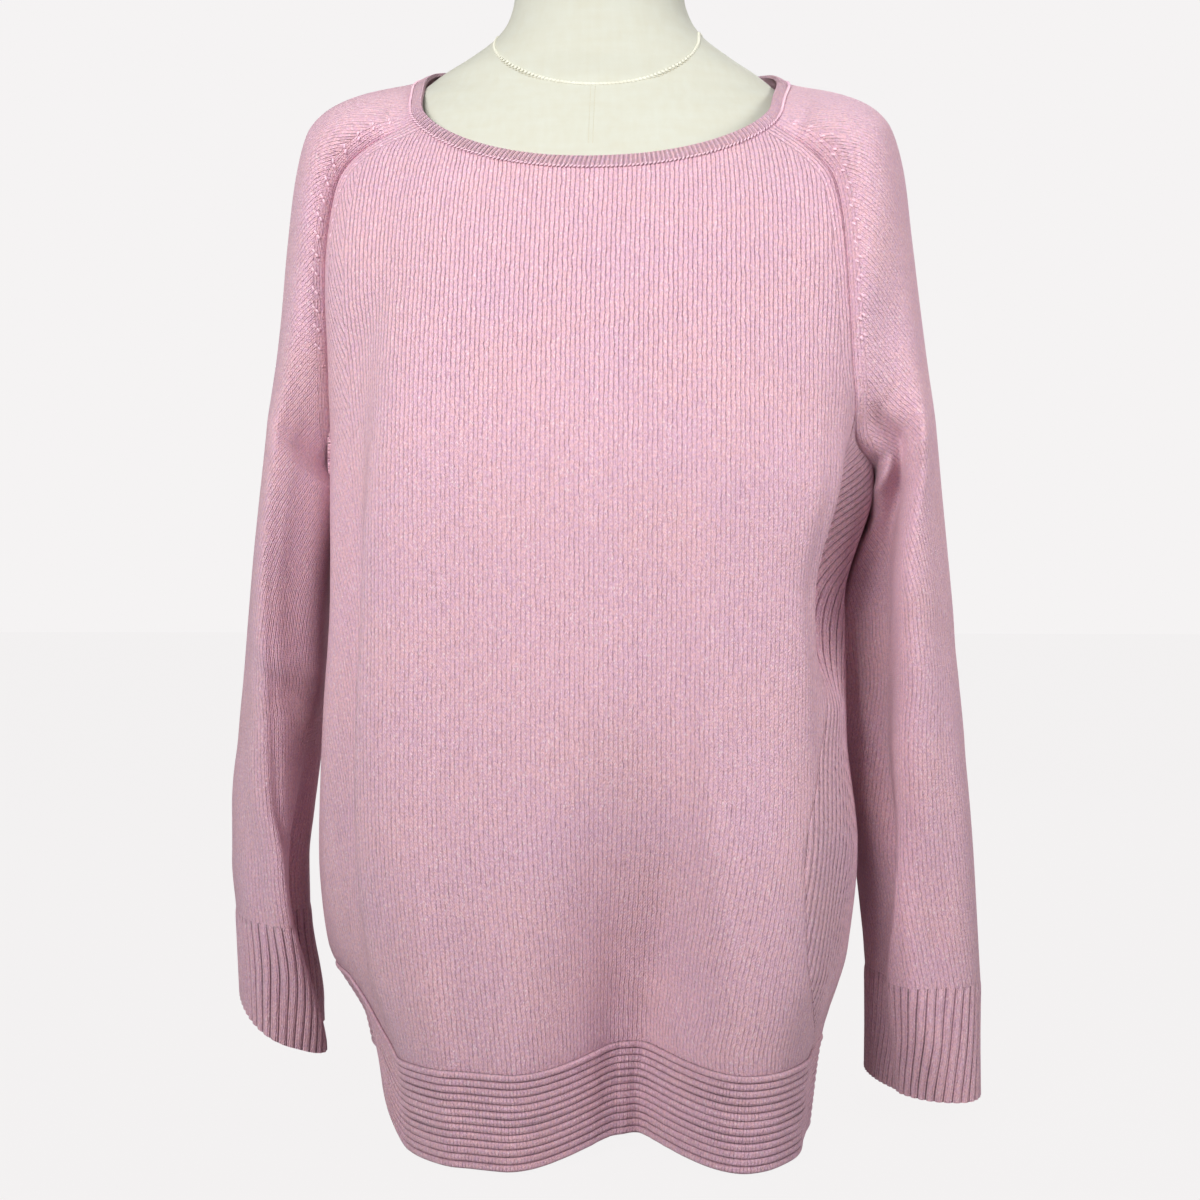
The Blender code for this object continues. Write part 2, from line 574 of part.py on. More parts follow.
def join_pieces(pieces):
    """Gives the pieces one common direction along each seam, then opens the gap between them."""
    seams = {}
    for piece in pieces:
        for vertex in {vertex for edge in piece.rim for vertex in edge}:
            seams.setdefault(key_of(piece.points[vertex]), []).append((piece, vertex))
    for meeting in seams.values():
        shared = unit(sum(piece.normals[vertex] for piece, vertex in meeting))
        for piece, vertex in meeting:
            piece.normals[vertex] = shared
    for piece in pieces:
        piece.draw_back(seams)


def closed_loft(rings):
    """Closed mesh through rings of equal size, with a flat face at each end."""
    count = len(rings[0])
    points = np.concatenate(rings)
    faces = []
    for row in range(len(rings) - 1):
        for i in range(count):
            j = (i + 1) % count
            faces.append((row * count + i, row * count + j, (row + 1) * count + j, (row + 1) * count + i))
    last = (len(rings) - 1) * count
    faces.append(tuple(range(count))[::-1])
    faces.append(tuple(range(last, last + count)))
    return points, faces


def form_ring(sections, z):
    """One level ring of the dress form."""
    around = np.linspace(-1.0, 1.0, FORM_COLUMNS + 1)[:-1]
    ring = outline(sections, around, np.full(FORM_COLUMNS, z))[0]
    tilt = ease((z - CHEST_Z) / (SHOULDER_Z - CHEST_Z)) * ease((NECK_Z - z) / (NECK_Z - SHOULDER_Z))
    ring[:, 2] += SHOULDER_TILT * ring[:, 0] * tilt
    return ring


def form_torso():
    """Limbless torso with its neck, from its underside to the top of the neck."""
    return closed_loft([form_ring(FORM, z) for z in FORM_LEVELS])


def form_neck_cap():
    """Plain domed cap on the neck."""
    neck = form_ring(FORM, FORM[-1].z)
    centre = neck.mean(axis=0)
    rings = []
    for share, rise in CAP_PROFILE:
        ring = centre + (neck - centre) * share
        ring[:, 2] = FORM[-1].z + SEAM_GAP + rise
        rings.append(ring)
    return closed_loft(rings)


def form_base():
    """Plain block that the torso stands on, set back behind the hem."""
    return closed_loft([form_ring(BASE, section.z) for section in BASE])


# ---------------------------------------------------------------------------------------------
# Blender objects
# ---------------------------------------------------------------------------------------------
def material(name, colour, roughness):
    """Principled material of one sub-part."""
    made = bpy.data.materials.new(name)
    made.use_nodes = True
    shader = made.node_tree.nodes["Principled BSDF"]
    shader.inputs["Base Color"].default_value = (*colour, 1.0)
    shader.inputs["Roughness"].default_value = roughness
    shader.inputs["Metallic"].default_value = 0.0
    return made


def add_object(collection, name, mesh_data, colour, roughness):
    """Object with its own mesh and material."""
    points, faces = mesh_data
    mesh = bpy.data.meshes.new(name)
    mesh.from_pydata(points.tolist(), [], faces)
    mesh.shade_smooth()
    mesh.set_sharp_from_angle(angle=math.radians(SHARP_ANGLE))
    mesh.materials.append(material(name, colour, roughness))
    made = bpy.data.objects.new(name, mesh)
    collection.objects.link(made)
    return made


def sewn_pieces():
    """Every piece of the sweater, joined at its seams."""
    front, back = panel("front"), panel("back")
    right, left = side_panel("right"), side_panel("left")
    sleeves = {side: sleeve(side) for side in SIGN}
    last_cap = len(CAP_WAYS) - 1
    band = neckband(front, sleeves["right"], back, sleeves["left"])
    pieces = [
        Piece("front_panel", front, CLOTH_WALL),
        Piece("back_panel", back, CLOTH_WALL),
        Piece("side_panel_right", right, CLOTH_WALL),
        Piece("side_panel_left", left, CLOTH_WALL),
        Piece("hem_band", hem_band(), BAND_WALL, closed=True),
        Piece("neckband", band, CLOTH_WALL, closed=True),
    ]
    for side, grid in sleeves.items():
        flip = side == "right"
        pieces.append(Piece("sleeve_" + side, grid, CLOTH_WALL, joined_from=last_cap, flip=flip))
        pieces.append(Piece("cuff_" + side, cuff(side), BAND_WALL, joined_from=0, flip=flip))
    join_pieces(pieces)
    return pieces


def main():
    for old in list(bpy.data.objects):
        bpy.data.objects.remove(old, do_unlink=True)
    collection = bpy.data.collections.new("cashmere_sweater_on_form")
    bpy.context.scene.collection.children.link(collection)
    for piece in sewn_pieces():
        add_object(collection, piece.name, piece.solid(), KNIT_PINK, 0.9)
    add_object(collection, "form_torso", form_torso(), LINEN, 0.85)
    add_object(collection, "form_neck_cap", form_neck_cap(), CAP_WHITE, 0.6)
    add_object(collection, "form_base", form_base(), BASE_WOOD, 0.5)


main()
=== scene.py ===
"""Looks of the raglan cashmere sweater on its limbless dress form.

Metres, +Z up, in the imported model's own frame: the wearer's front faces -Y and +X is on the
viewer's right. Every sewn piece is a closed knitted shell that follows its solid, with finer creases,
shallower front troughs and flatter raglan seams. Ribs and ridges are in the mesh. The stitches are in
the finish, and run along each piece's own wales.
"""

import logging
import math
from dataclasses import dataclass, field
from enum import Enum
from typing import Any, NamedTuple, Optional, Sequence, Union

import bmesh
import bpy
import numpy as np
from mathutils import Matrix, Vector


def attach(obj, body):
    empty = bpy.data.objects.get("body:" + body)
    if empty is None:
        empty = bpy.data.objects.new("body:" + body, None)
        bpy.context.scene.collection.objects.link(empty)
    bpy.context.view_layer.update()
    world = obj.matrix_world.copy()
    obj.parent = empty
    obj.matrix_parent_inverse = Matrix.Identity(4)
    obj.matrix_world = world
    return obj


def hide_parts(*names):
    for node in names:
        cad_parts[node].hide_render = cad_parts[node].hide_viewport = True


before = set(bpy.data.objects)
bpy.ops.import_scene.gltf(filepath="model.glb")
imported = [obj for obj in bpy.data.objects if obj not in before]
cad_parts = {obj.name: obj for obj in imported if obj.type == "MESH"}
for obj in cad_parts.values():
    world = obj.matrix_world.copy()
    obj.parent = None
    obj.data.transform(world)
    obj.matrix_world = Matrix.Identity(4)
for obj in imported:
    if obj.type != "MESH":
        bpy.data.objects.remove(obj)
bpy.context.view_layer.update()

KNIT_MAP = "knit"
log = logging.getLogger("sweater")

Array = np.ndarray
Colour = tuple[float, float, float]


# ---------------------------------------------------------------------------------------------
# Tables: the worn shape
# ---------------------------------------------------------------------------------------------
class Section(NamedTuple):
    """Outline at one height: its reach to each side, where it is widest, and its squareness."""

    z: float
    left: float
    right: float
    front: float
    back: float
    middle: float
    square: float


class Fold(NamedTuple):
    """Soft ridge (out > 0) or trough, by place round the body or degrees round a sleeve."""

    name: str
    head: float
    foot: float
    wide_head: float
    wide_foot: float
    out: float
    top: float
    full: float
    hold: float
    end: float


class At(NamedTuple):
    """One point of a crease: its height, its place round the piece, and its lift there."""

    z: float
    place: float
    out: float


class Crease(NamedTuple):
    """Bend or valley that runs down a piece, with a reach of its own on each side."""

    name: str
    before: float
    after: float
    path: tuple[At, ...]


class Dent(NamedTuple):
    """Small soft hollow or swelling that runs across a piece; its tilt is its climb round the piece."""

    place: float
    z: float
    wide: float
    tall: float
    tilt: float
    out: float


class Seam(NamedTuple):
    """Places round the body of the side panels' seams at one height."""

    z: float
    right_front: float
    right_back: float
    left_front: float
    left_back: float


class Place(NamedTuple):
    """One seam's place round the body at one height."""

    z: float
    around: float


class Raglan(NamedTuple):
    """Armhole at one way from the neckband (0) to the underarm (1)."""

    way: float
    front_z: float
    front: float
    back_z: float
    back: float


class Cap(NamedTuple):
    """Line over the shoulder, and half the sleeve's depth there."""

    way: float
    right: float
    left: float
    y: float
    z: float
    depth_right: float
    depth_left: float


class Tube(NamedTuple):
    """Inner and outer points of a sleeve or cuff, its half depth, and its front edge's lean and dip."""

    way: float
    inner_x: float
    inner_y: float
    inner_z: float
    outer_x: float
    outer_y: float
    outer_z: float
    half_depth: float
    lean: float
    dip: float


BODY = (
    Section(0.000, 0.137, 0.129, -0.119, 0.112, 0.005, 2.25),
    Section(0.057, 0.149, 0.138, -0.121, 0.115, 0.018, 2.30),
    Section(0.110, 0.170, 0.153, -0.120, 0.118, 0.020, 2.50),
    Section(0.170, 0.174, 0.158, -0.119, 0.118, 0.015, 2.60),
    Section(0.240, 0.171, 0.151, -0.117, 0.116, 0.010, 2.70),
    Section(0.320, 0.165, 0.150, -0.116, 0.114, 0.008, 2.80),
    Section(0.390, 0.164, 0.167, -0.117, 0.112, 0.008, 2.90),
    Section(0.450, 0.163, 0.165, -0.112, 0.110, 0.008, 3.00),
    Section(0.520, 0.166, 0.166, -0.098, 0.106, 0.008, 3.00),
    Section(0.570, 0.165, 0.165, -0.079, 0.097, 0.010, 2.90),
    Section(0.600, 0.160, 0.160, -0.064, 0.087, 0.010, 2.70),
    Section(0.660, 0.140, 0.140, -0.026, 0.068, 0.012, 2.40),
)
BODY_FOLDS = (
    Fold("front_trough_left", 0.050, 0.013, 0.09, 0.120, -0.033, 0.270, 0.010, -0.10, -0.20),
    Fold("front_trough_right", 0.050, 0.103, 0.09, 0.120, -0.033, 0.270, 0.010, -0.10, -0.20),
    Fold("front_step", 0.115, 0.105, 0.06, 0.050, -0.010, 0.420, 0.010, -0.10, -0.20),
    Fold("right_lobe", 0.240, 0.250, 0.10, 0.130, 0.017, 0.300, 0.050, -0.10, -0.20),
    Fold("left_lobe", -0.170, -0.170, 0.10, 0.130, 0.006, 0.300, 0.050, -0.10, -0.20),
    Fold("right_tuck", 0.372, 0.385, 0.05, 0.075, -0.028, 0.440, 0.350, 0.320, 0.250),
    Fold("right_underarm", 0.520, 0.580, 0.10, 0.110, -0.013, 0.340, 0.270, 0.200, 0.110),
    Fold("left_underarm", -0.520, -0.520, 0.10, 0.130, -0.018, 0.404, 0.350, 0.240, 0.150),
    Fold("right_flap", 0.560, 0.560, 0.10, 0.110, -0.012, 0.160, 0.090, -0.10, -0.20),
    Fold("left_flank", -0.330, -0.420, 0.10, 0.110, -0.010, 0.140, 0.060, -0.10, -0.20),
    Fold("back_trough_right", 0.830, 0.800, 0.07, 0.100, -0.020, 0.330, 0.040, -0.10, -0.20),
    Fold("back_trough_left", -0.860, -0.880, 0.08, 0.110, -0.026, 0.420, 0.040, -0.10, -0.20),
)
SIDE_SEAMS = (
    Seam(0.050, 0.385, 0.470, -0.560, -0.575),
    Seam(0.090, 0.300, 0.500, -0.552, -0.597),
    Seam(0.120, 0.275, 0.520, -0.545, -0.610),
    Seam(0.170, 0.270, 0.547, -0.533, -0.628),
    Seam(0.215, 0.310, 0.567, -0.520, -0.640),
    Seam(0.260, 0.352, 0.585, -0.505, -0.640),
    Seam(0.300, 0.366, 0.600, -0.490, -0.640),
    Seam(0.370, 0.368, 0.618, -0.450, -0.635),
)
RAGLANS = {
    "right": (
        Raglan(0.00, 0.5945, 0.272, 0.648, 0.770),
        Raglan(0.20, 0.5780, 0.310, 0.612, 0.715),
        Raglan(0.40, 0.5560, 0.337, 0.572, 0.672),
        Raglan(0.60, 0.5080, 0.342, 0.515, 0.645),
        Raglan(0.85, 0.4250, 0.365, 0.427, 0.630),
        Raglan(0.93, 0.4020, 0.420, 0.402, 0.605),
        Raglan(1.00, 0.3860, 0.520, 0.386, 0.520),
    ),
    "left": (
        Raglan(0.00, 0.6020, -0.276, 0.654, -0.770),
        Raglan(0.20, 0.5860, -0.340, 0.618, -0.715),
        Raglan(0.40, 0.5620, -0.380, 0.576, -0.672),
        Raglan(0.60, 0.5120, -0.390, 0.518, -0.645),
        Raglan(0.85, 0.4250, -0.410, 0.427, -0.630),
        Raglan(0.93, 0.4020, -0.450, 0.402, -0.605),
        Raglan(1.00, 0.3860, -0.510, 0.386, -0.510),
    ),
}
CAP = (
    Cap(0.00, 0.117, 0.117, 0.008, 0.6410, 0.060, 0.060),
    Cap(0.15, 0.139, 0.140, 0.008, 0.6370, 0.070, 0.068),
    Cap(0.30, 0.161, 0.162, 0.008, 0.6280, 0.075, 0.072),
    Cap(0.42, 0.177, 0.179, 0.008, 0.6120, 0.076, 0.072),
    Cap(0.52, 0.186, 0.188, 0.009, 0.5820, 0.076, 0.071),
    Cap(0.65, 0.191, 0.194, 0.010, 0.5400, 0.076, 0.069),
    Cap(0.80, 0.197, 0.199, 0.011, 0.4900, 0.075, 0.069),
    Cap(1.00, 0.205, 0.207, 0.012, 0.4250, 0.075, 0.070),
)
TUBES = {
    "right": (
        Tube(0.00, 0.1630, 0.012, 0.3860, 0.2050, 0.012, 0.4250, 0.075, 0.00, 0.0),
        Tube(0.05, 0.1615, 0.026, 0.3690, 0.2070, 0.012, 0.4050, 0.074, 0.00, 0.0),
        Tube(0.10, 0.1560, 0.030, 0.3500, 0.2090, 0.012, 0.3850, 0.073, 0.00, 0.0),
        Tube(0.20, 0.1510, 0.036, 0.3150, 0.2130, 0.012, 0.3450, 0.072, 0.00, 0.0),
        Tube(0.45, 0.1500, 0.046, 0.2350, 0.2220, 0.014, 0.2500, 0.062, 0.00, 0.0),
        Tube(0.70, 0.1590, 0.044, 0.1600, 0.2290, 0.022, 0.1640, 0.055, -0.08, 0.0),
        Tube(1.00, 0.1680, 0.034, 0.0860, 0.2330, 0.036, 0.0860, 0.053, -0.18, 0.0),
    ),
    "left": (
        Tube(0.00, 0.1620, 0.012, 0.3860, 0.2070, 0.012, 0.4250, 0.070, 0.00, 0.0),
        Tube(0.20, 0.1720, 0.012, 0.3250, 0.2145, 0.012, 0.3550, 0.068, 0.00, 0.0),
        Tube(0.45, 0.1775, 0.012, 0.2550, 0.2245, 0.009, 0.2700, 0.062, 0.06, 0.0),
        Tube(0.70, 0.1845, 0.014, 0.1850, 0.2340, 0.006, 0.1900, 0.057, 0.16, 0.0),
        Tube(0.85, 0.1875, 0.014, 0.1540, 0.2340, 0.004, 0.1580, 0.056, 0.20, 0.03),
        Tube(1.00, 0.1870, 0.014, 0.1240, 0.2310, 0.003, 0.1280, 0.056, 0.20, 0.05),
    ),
}
CUFFS = {
    "right": (
        TUBES["right"][-1]._replace(way=0.0),
        Tube(1.00, 0.1740, 0.030, 0.0160, 0.2260, 0.046, 0.0160, 0.053, -0.42, 0.0),
    ),
    "left": (
        TUBES["left"][-1]._replace(way=0.0),
        Tube(1.00, 0.1820, 0.014, 0.0470, 0.2280, 0.000, 0.0740, 0.055, 0.26, 0.16),
    ),
}
SLEEVE_FOLDS = {
    "right": (
        Fold("front_valley", 140.0, 50.0, 32.0, 40.0, -0.022, 0.580, 0.330, 0.280, 0.150),
        Fold("front_crease", 55.0, 50.0, 40.0, 40.0, 0.010, 0.200, 0.110, 0.060, 0.000),
    ),
    "left": (
        Fold("pressed_ridge", 115.0, 60.0, 35.0, 35.0, 0.006, 0.600, 0.200, 0.150, 0.060),
    ),
}
FORM = (
    Section(0.040, 0.096, 0.096, -0.036, 0.070, 0.018, 2.3),
    Section(0.110, 0.116, 0.116, -0.046, 0.078, 0.018, 2.3),
    Section(0.190, 0.124, 0.118, -0.066, 0.082, 0.012, 2.3),
    Section(0.270, 0.110, 0.106, -0.074, 0.070, 0.004, 2.3),
    Section(0.350, 0.116, 0.110, -0.096, 0.074, 0.000, 2.4),
    Section(0.410, 0.126, 0.122, -0.106, 0.080, 0.000, 2.4),
    Section(0.480, 0.134, 0.134, -0.097, 0.086, 0.002, 2.4),
    Section(0.540, 0.144, 0.144, -0.080, 0.088, 0.005, 2.4),
    Section(0.580, 0.150, 0.150, -0.066, 0.080, 0.008, 2.3),
    Section(0.606, 0.148, 0.148, -0.055, 0.070, 0.010, 2.2),
    Section(0.622, 0.134, 0.132, -0.048, 0.060, 0.010, 2.0),
    Section(0.631, 0.117, 0.115, -0.045, 0.056, 0.010, 2.0),
    Section(0.642, 0.102, 0.100, -0.045, 0.056, 0.010, 2.0),
    Section(0.652, 0.086, 0.084, -0.043, 0.055, 0.010, 2.0),
    Section(0.6658, 0.067, 0.065, -0.041, 0.054, 0.009, 2.0),
    Section(0.678, 0.058, 0.056, -0.040, 0.053, 0.008, 2.0),
    Section(0.692, 0.054, 0.052, -0.040, 0.052, 0.007, 2.0),
    Section(0.712, 0.053, 0.052, -0.042, 0.052, 0.006, 2.0),
)
BASE = (
    Section(0.0000, 0.098, 0.098, -0.034, 0.070, 0.018, 2.6),
    Section(0.0396, 0.096, 0.096, -0.034, 0.068, 0.018, 2.4),
)
SIGN = {"right": 1.0, "left": -1.0}
BODY_CREASES = (
    Crease("left_bend", 0.040, 0.120, (
        At(0.50, -0.235, 0.0), At(0.43, -0.238, 0.0035), At(0.34, -0.262, 0.0060),
        At(0.26, -0.270, 0.0065), At(0.18, -0.262, 0.0065), At(0.09, -0.250, 0.0035),
        At(0.0, -0.240, 0.0010))),
    Crease("left_flank", 0.065, 0.042, (
        At(0.50, -0.290, 0.0), At(0.43, -0.300, -0.0050), At(0.34, -0.315, -0.0090),
        At(0.20, -0.315, -0.0100), At(0.10, -0.305, -0.0060), At(0.03, -0.30, 0.0))),
    Crease("front_valley", 0.110, 0.030, (
        At(0.50, 0.120, 0.0), At(0.40, 0.124, -0.0018), At(0.25, 0.130, -0.0030), At(0.06, 0.150, -0.0015))),
    Crease("right_edge", 0.090, 0.035, (
        At(0.46, 0.290, 0.0), At(0.40, 0.280, 0.0020), At(0.33, 0.275, 0.0040), At(0.26, 0.290, 0.0030),
        At(0.20, 0.300, 0.0))),
    Crease("front_arch_left", 0.075, 0.070, (
        At(0.18, 0.040, 0.0), At(0.12, 0.040, -0.0020), At(0.06, 0.040, -0.0040), At(0.0, 0.040, -0.0040))),
    Crease("front_arch_right", 0.080, 0.055, (
        At(0.18, 0.140, 0.0), At(0.12, 0.140, -0.0030), At(0.06, 0.140, -0.0060), At(0.0, 0.140, -0.0060))),
    Crease("right_hem_edge", 0.070, 0.090, (
        At(0.17, 0.345, 0.0), At(0.11, 0.342, 0.0030), At(0.05, 0.338, 0.0045), At(0.0, 0.335, 0.0050))),
    Crease("left_low_valley", 0.035, 0.070, (
        At(0.24, -0.170, 0.0), At(0.15, -0.160, -0.0012), At(0.06, -0.150, -0.0025),
        At(0.0, -0.150, -0.0020))),
    Crease("back_centre", 0.080, 0.050, (
        At(0.52, 0.970, 0.0), At(0.40, 0.960, -0.0030), At(0.20, 0.940, -0.0050), At(0.05, 0.930, -0.0030))),
    Crease("back_left_bend", 0.050, 0.100, (
        At(0.46, -0.700, 0.0), At(0.34, -0.715, 0.0045), At(0.20, -0.720, 0.0055), At(0.06, -0.730, 0.0030))),
    Crease("back_right_bend", 0.100, 0.050, (
        At(0.46, 0.700, 0.0), At(0.34, 0.700, 0.0040), At(0.20, 0.690, 0.0050), At(0.06, 0.690, 0.0025))),
    Crease("left_side_valley", 0.070, 0.070, (
        At(0.34, -0.560, 0.0), At(0.26, -0.560, -0.0040), At(0.14, -0.580, -0.0050),
        At(0.06, -0.60, -0.0020))),
)
RAGLAN_PULLS = (
    Crease("right_raglan", 0.110, 0.050, (
        At(0.605, 0.262, 0.0), At(0.578, 0.310, 0.0040), At(0.556, 0.337, 0.0070), At(0.508, 0.342, 0.0080),
        At(0.450, 0.352, 0.0060), At(0.415, 0.372, 0.0))),
    Crease("left_raglan", 0.050, 0.130, (
        At(0.612, -0.270, 0.0), At(0.586, -0.340, 0.0060), At(0.562, -0.380, 0.0110),
        At(0.512, -0.390, 0.0130), At(0.455, -0.400, 0.0090), At(0.415, -0.415, 0.0))),
)
BODY_DENTS = (
    Dent(0.105, 0.072, 0.055, 0.010, -0.35, -0.0016),
    Dent(0.100, 0.092, 0.050, 0.009, -0.35, 0.0010),
    Dent(0.060, 0.120, 0.060, 0.012, -0.25, -0.0010),
    Dent(-0.200, 0.110, 0.050, 0.012, 0.30, -0.0010),
    Dent(0.000, 0.600, 0.200, 0.022, 0.00, 0.0010),
    Dent(-0.300, 0.470, 0.060, 0.020, 0.50, -0.0016),
    Dent(0.300, 0.470, 0.060, 0.020, -0.50, -0.0014),
    Dent(0.240, 0.420, 0.050, 0.016, -0.60, -0.0012),
    Dent(0.860, 0.450, 0.120, 0.014, 0.15, -0.0020),
    Dent(-0.860, 0.470, 0.120, 0.014, -0.15, -0.0020),
    Dent(0.980, 0.250, 0.120, 0.012, 0.10, -0.0016),
    Dent(-0.780, 0.120, 0.070, 0.012, 0.25, -0.0016),
)
SLEEVE_CREASES = {
    "right": (
        Crease("front_edge", 13.0, 45.0, (
            At(0.47, 86.0, 0.0), At(0.40, 88.0, 0.0050), At(0.30, 90.0, 0.0080), At(0.20, 80.0, 0.0075),
            At(0.135, 57.0, 0.0065), At(0.086, 37.0, 0.0050), At(0.02, 30.0, 0.0035))),
        Crease("front_recess", 26.0, 15.0, (
            At(0.47, 68.0, 0.0), At(0.40, 70.0, -0.0050), At(0.30, 70.0, -0.0130), At(0.20, 60.0, -0.0130),
            At(0.135, 40.0, -0.0080), At(0.086, 18.0, -0.0030), At(0.02, 10.0, 0.0))),
        Crease("inner_lobe", 30.0, 26.0, (
            At(0.42, 30.0, 0.0), At(0.385, 28.0, 0.0055), At(0.35, 22.0, 0.0075), At(0.30, 22.0, 0.0070),
            At(0.24, 18.0, 0.0040), At(0.19, 12.0, 0.0))),
        Crease("inner_edge", 30.0, 26.0, (
            At(0.385, 2.0, 0.0), At(0.362, 2.0, 0.0060), At(0.335, 0.0, 0.0050), At(0.30, 0.0, 0.0))),
        Crease("back_bend", 40.0, 20.0, (
            At(0.50, 245.0, 0.0), At(0.38, 250.0, -0.0040), At(0.20, 258.0, -0.0050),
            At(0.05, 262.0, -0.0020))),
        Crease("back_valley", 18.0, 35.0, (
            At(0.46, 300.0, 0.0), At(0.36, 298.0, 0.0070), At(0.22, 292.0, 0.0060), At(0.10, 290.0, 0.0))),
    ),
    "left": (
        Crease("front_edge", 16.0, 38.0, (
            At(0.52, 104.0, 0.0), At(0.43, 101.0, 0.0040), At(0.34, 96.0, 0.0055), At(0.27, 90.0, 0.0060),
            At(0.20, 84.0, 0.0070), At(0.165, 70.0, 0.0085), At(0.13, 63.0, 0.0095), At(0.09, 50.0, 0.0080),
            At(0.05, 34.0, 0.0060))),
        Crease("inner_recess", 30.0, 20.0, (
            At(0.25, 20.0, 0.0), At(0.20, 26.0, -0.0060), At(0.166, 34.0, -0.0120), At(0.13, 34.0, -0.0140),
            At(0.10, 24.0, -0.0120), At(0.06, 8.0, -0.0080))),
        Crease("inner_front", 30.0, 34.0, (
            At(0.46, 44.0, 0.0), At(0.40, 38.0, 0.0060), At(0.33, 32.0, 0.0080), At(0.27, 30.0, 0.0060),
            At(0.22, 30.0, 0.0))),
        Crease("upper_valley", 20.0, 24.0, (
            At(0.56, 52.0, 0.0), At(0.50, 48.0, -0.0035), At(0.45, 44.0, -0.0030), At(0.40, 40.0, 0.0))),
        Crease("back_bend", 35.0, 20.0, (
            At(0.50, 240.0, 0.0), At(0.36, 250.0, -0.0045), At(0.20, 262.0, -0.0050),
            At(0.07, 265.0, -0.0020))),
        Crease("back_valley", 18.0, 35.0, (
            At(0.46, 300.0, 0.0), At(0.36, 300.0, 0.0060), At(0.22, 295.0, 0.0060), At(0.10, 290.0, 0.0))),
    ),
}
SLEEVE_DENTS = {
    "right": (
        Dent(115.0, 0.300, 60.0, 0.014, -0.0002, -0.0016),
        Dent(60.0, 0.445, 30.0, 0.012, 0.0006, -0.0014),
        Dent(245.0, 0.300, 50.0, 0.012, 0.0004, -0.0030),
        Dent(250.0, 0.270, 50.0, 0.010, 0.0004, 0.0024),
        Dent(240.0, 0.200, 45.0, 0.012, -0.0003, -0.0022),
    ),
    "left": (
        Dent(55.0, 0.262, 40.0, 0.008, 0.0003, -0.0026),
        Dent(58.0, 0.280, 42.0, 0.010, 0.0003, 0.0020),
        Dent(120.0, 0.240, 40.0, 0.012, -0.0003, -0.0014),
        Dent(245.0, 0.290, 50.0, 0.012, -0.0004, -0.0030),
        Dent(240.0, 0.260, 50.0, 0.010, -0.0004, 0.0024),
        Dent(250.0, 0.190, 45.0, 0.012, 0.0003, -0.0022),
    ),
}
CORNER_WAY = 0.85
SHOULDER_TILT = -0.032
OUTLINE_STEPS = 240
SEAM_GAP = 0.00006
WELD_DISTANCE = 1e-6
CUFF_FADE = 0.006
COLUMNS_BESIDE = 24


# ---------------------------------------------------------------------------------------------
# Curves
# ---------------------------------------------------------------------------------------------
def smooth(table: Sequence[Any], column: str, at: Any) -> Array:
    """Reads a table's column on a curve that never overshoots its rows.

    Args:
        table: Rows, whose first column is the place.
        column: Name of the column to read.
        at: Places to read it at.

    Returns:
        The column's values at those places.
    """
    place = np.array([row[0] for row in table])
    value = np.array([getattr(row, column) for row in table])
    step = np.diff(place)
    rise = np.diff(value) / step
    slope = np.concatenate(([rise[0]], np.zeros(len(rise) - 1), [rise[-1]]))
    for i in range(1, len(rise)):
        if rise[i - 1] * rise[i] > 0:
            slope[i] = 2.0 * rise[i - 1] * rise[i] / (rise[i - 1] + rise[i])
    at = np.clip(at, place[0], place[-1])
    i = np.clip(np.searchsorted(place, at) - 1, 0, len(step) - 1)
    t = (at - place[i]) / step[i]
    start = (1 + 2 * t) * (1 - t) ** 2 * value[i] + t * (1 - t) ** 2 * step[i] * slope[i]
    end = t * t * (3 - 2 * t) * value[i + 1] + t * t * (t - 1) * step[i] * slope[i + 1]
    return start + end


def ease(t: Any) -> Array:
    """Smooth step from 0 to 1."""
    t = np.clip(t, 0.0, 1.0)
    return t * t * (3.0 - 2.0 * t)


def unit(vectors: Array) -> Array:
    """Vectors scaled to length 1."""
    return vectors / np.maximum(np.linalg.norm(vectors, axis=-1, keepdims=True), 1e-12)


def running(steps: Array, axis: int = 0) -> Array:
    """Running total of steps along an axis, from zero."""
    return np.concatenate([np.zeros_like(np.take(steps, [0], axis)), np.cumsum(steps, axis=axis)], axis=axis)


def run_of(points: Array) -> Array:
    """Length along a line of points, from its first one."""
    return running(np.linalg.norm(np.diff(points[:, :3], axis=0), axis=1))


def respaced(points: Array, places: Array) -> Array:
    """Points at given lengths along a line; every column of the line is carried over."""
    run = run_of(points)
    return np.stack([np.interp(places, run, column) for column in points.T], axis=1)


def spread(total: float, edges: Sequence[float], columns: int) -> Array:
    """Places of a row's columns along it: close beside its seams, then even.

    Args:
        total: The row's length.
        edges: Places beside a seam.
        columns: One less than the number of places.

    Returns:
        The places.
    """
    near = np.array(edges)
    inner = np.linspace(near[-1], total - near[-1], columns - 2 * len(near) + 3)
    return np.concatenate([near[:-1], inner, total - near[:-1][::-1]])


def crest(phase: Array, roundness: float) -> Array:
    """Ridge profile: 0 in the groove at each whole number, 1 half way between."""
    return np.abs(np.sin(np.pi * phase)) ** roundness


def fold_depth(folds: Sequence[Fold], around: Array, z: Array) -> Array:
    """How far the folds lift the cloth off its plain outline.

    Args:
        folds: The folds, in one table.
        around: Places round the piece, in the folds' own unit.
        z: Heights.

    Returns:
        The lift at each place.
    """
    out = np.zeros(len(z))
    for fold in folds:
        down = np.clip((fold.top - z) / (fold.top - fold.full), 0.0, 1.0)
        middle = fold.head + (fold.foot - fold.head) * down
        width = fold.wide_head + (fold.wide_foot - fold.wide_head) * down
        across = np.clip(np.abs(around - middle) / width, 0.0, 1.0)
        fade = ease((z - fold.end) / (fold.hold - fold.end))
        out += fold.out * np.cos(across * math.pi / 2) ** 2 * ease(down) * fade
    return out


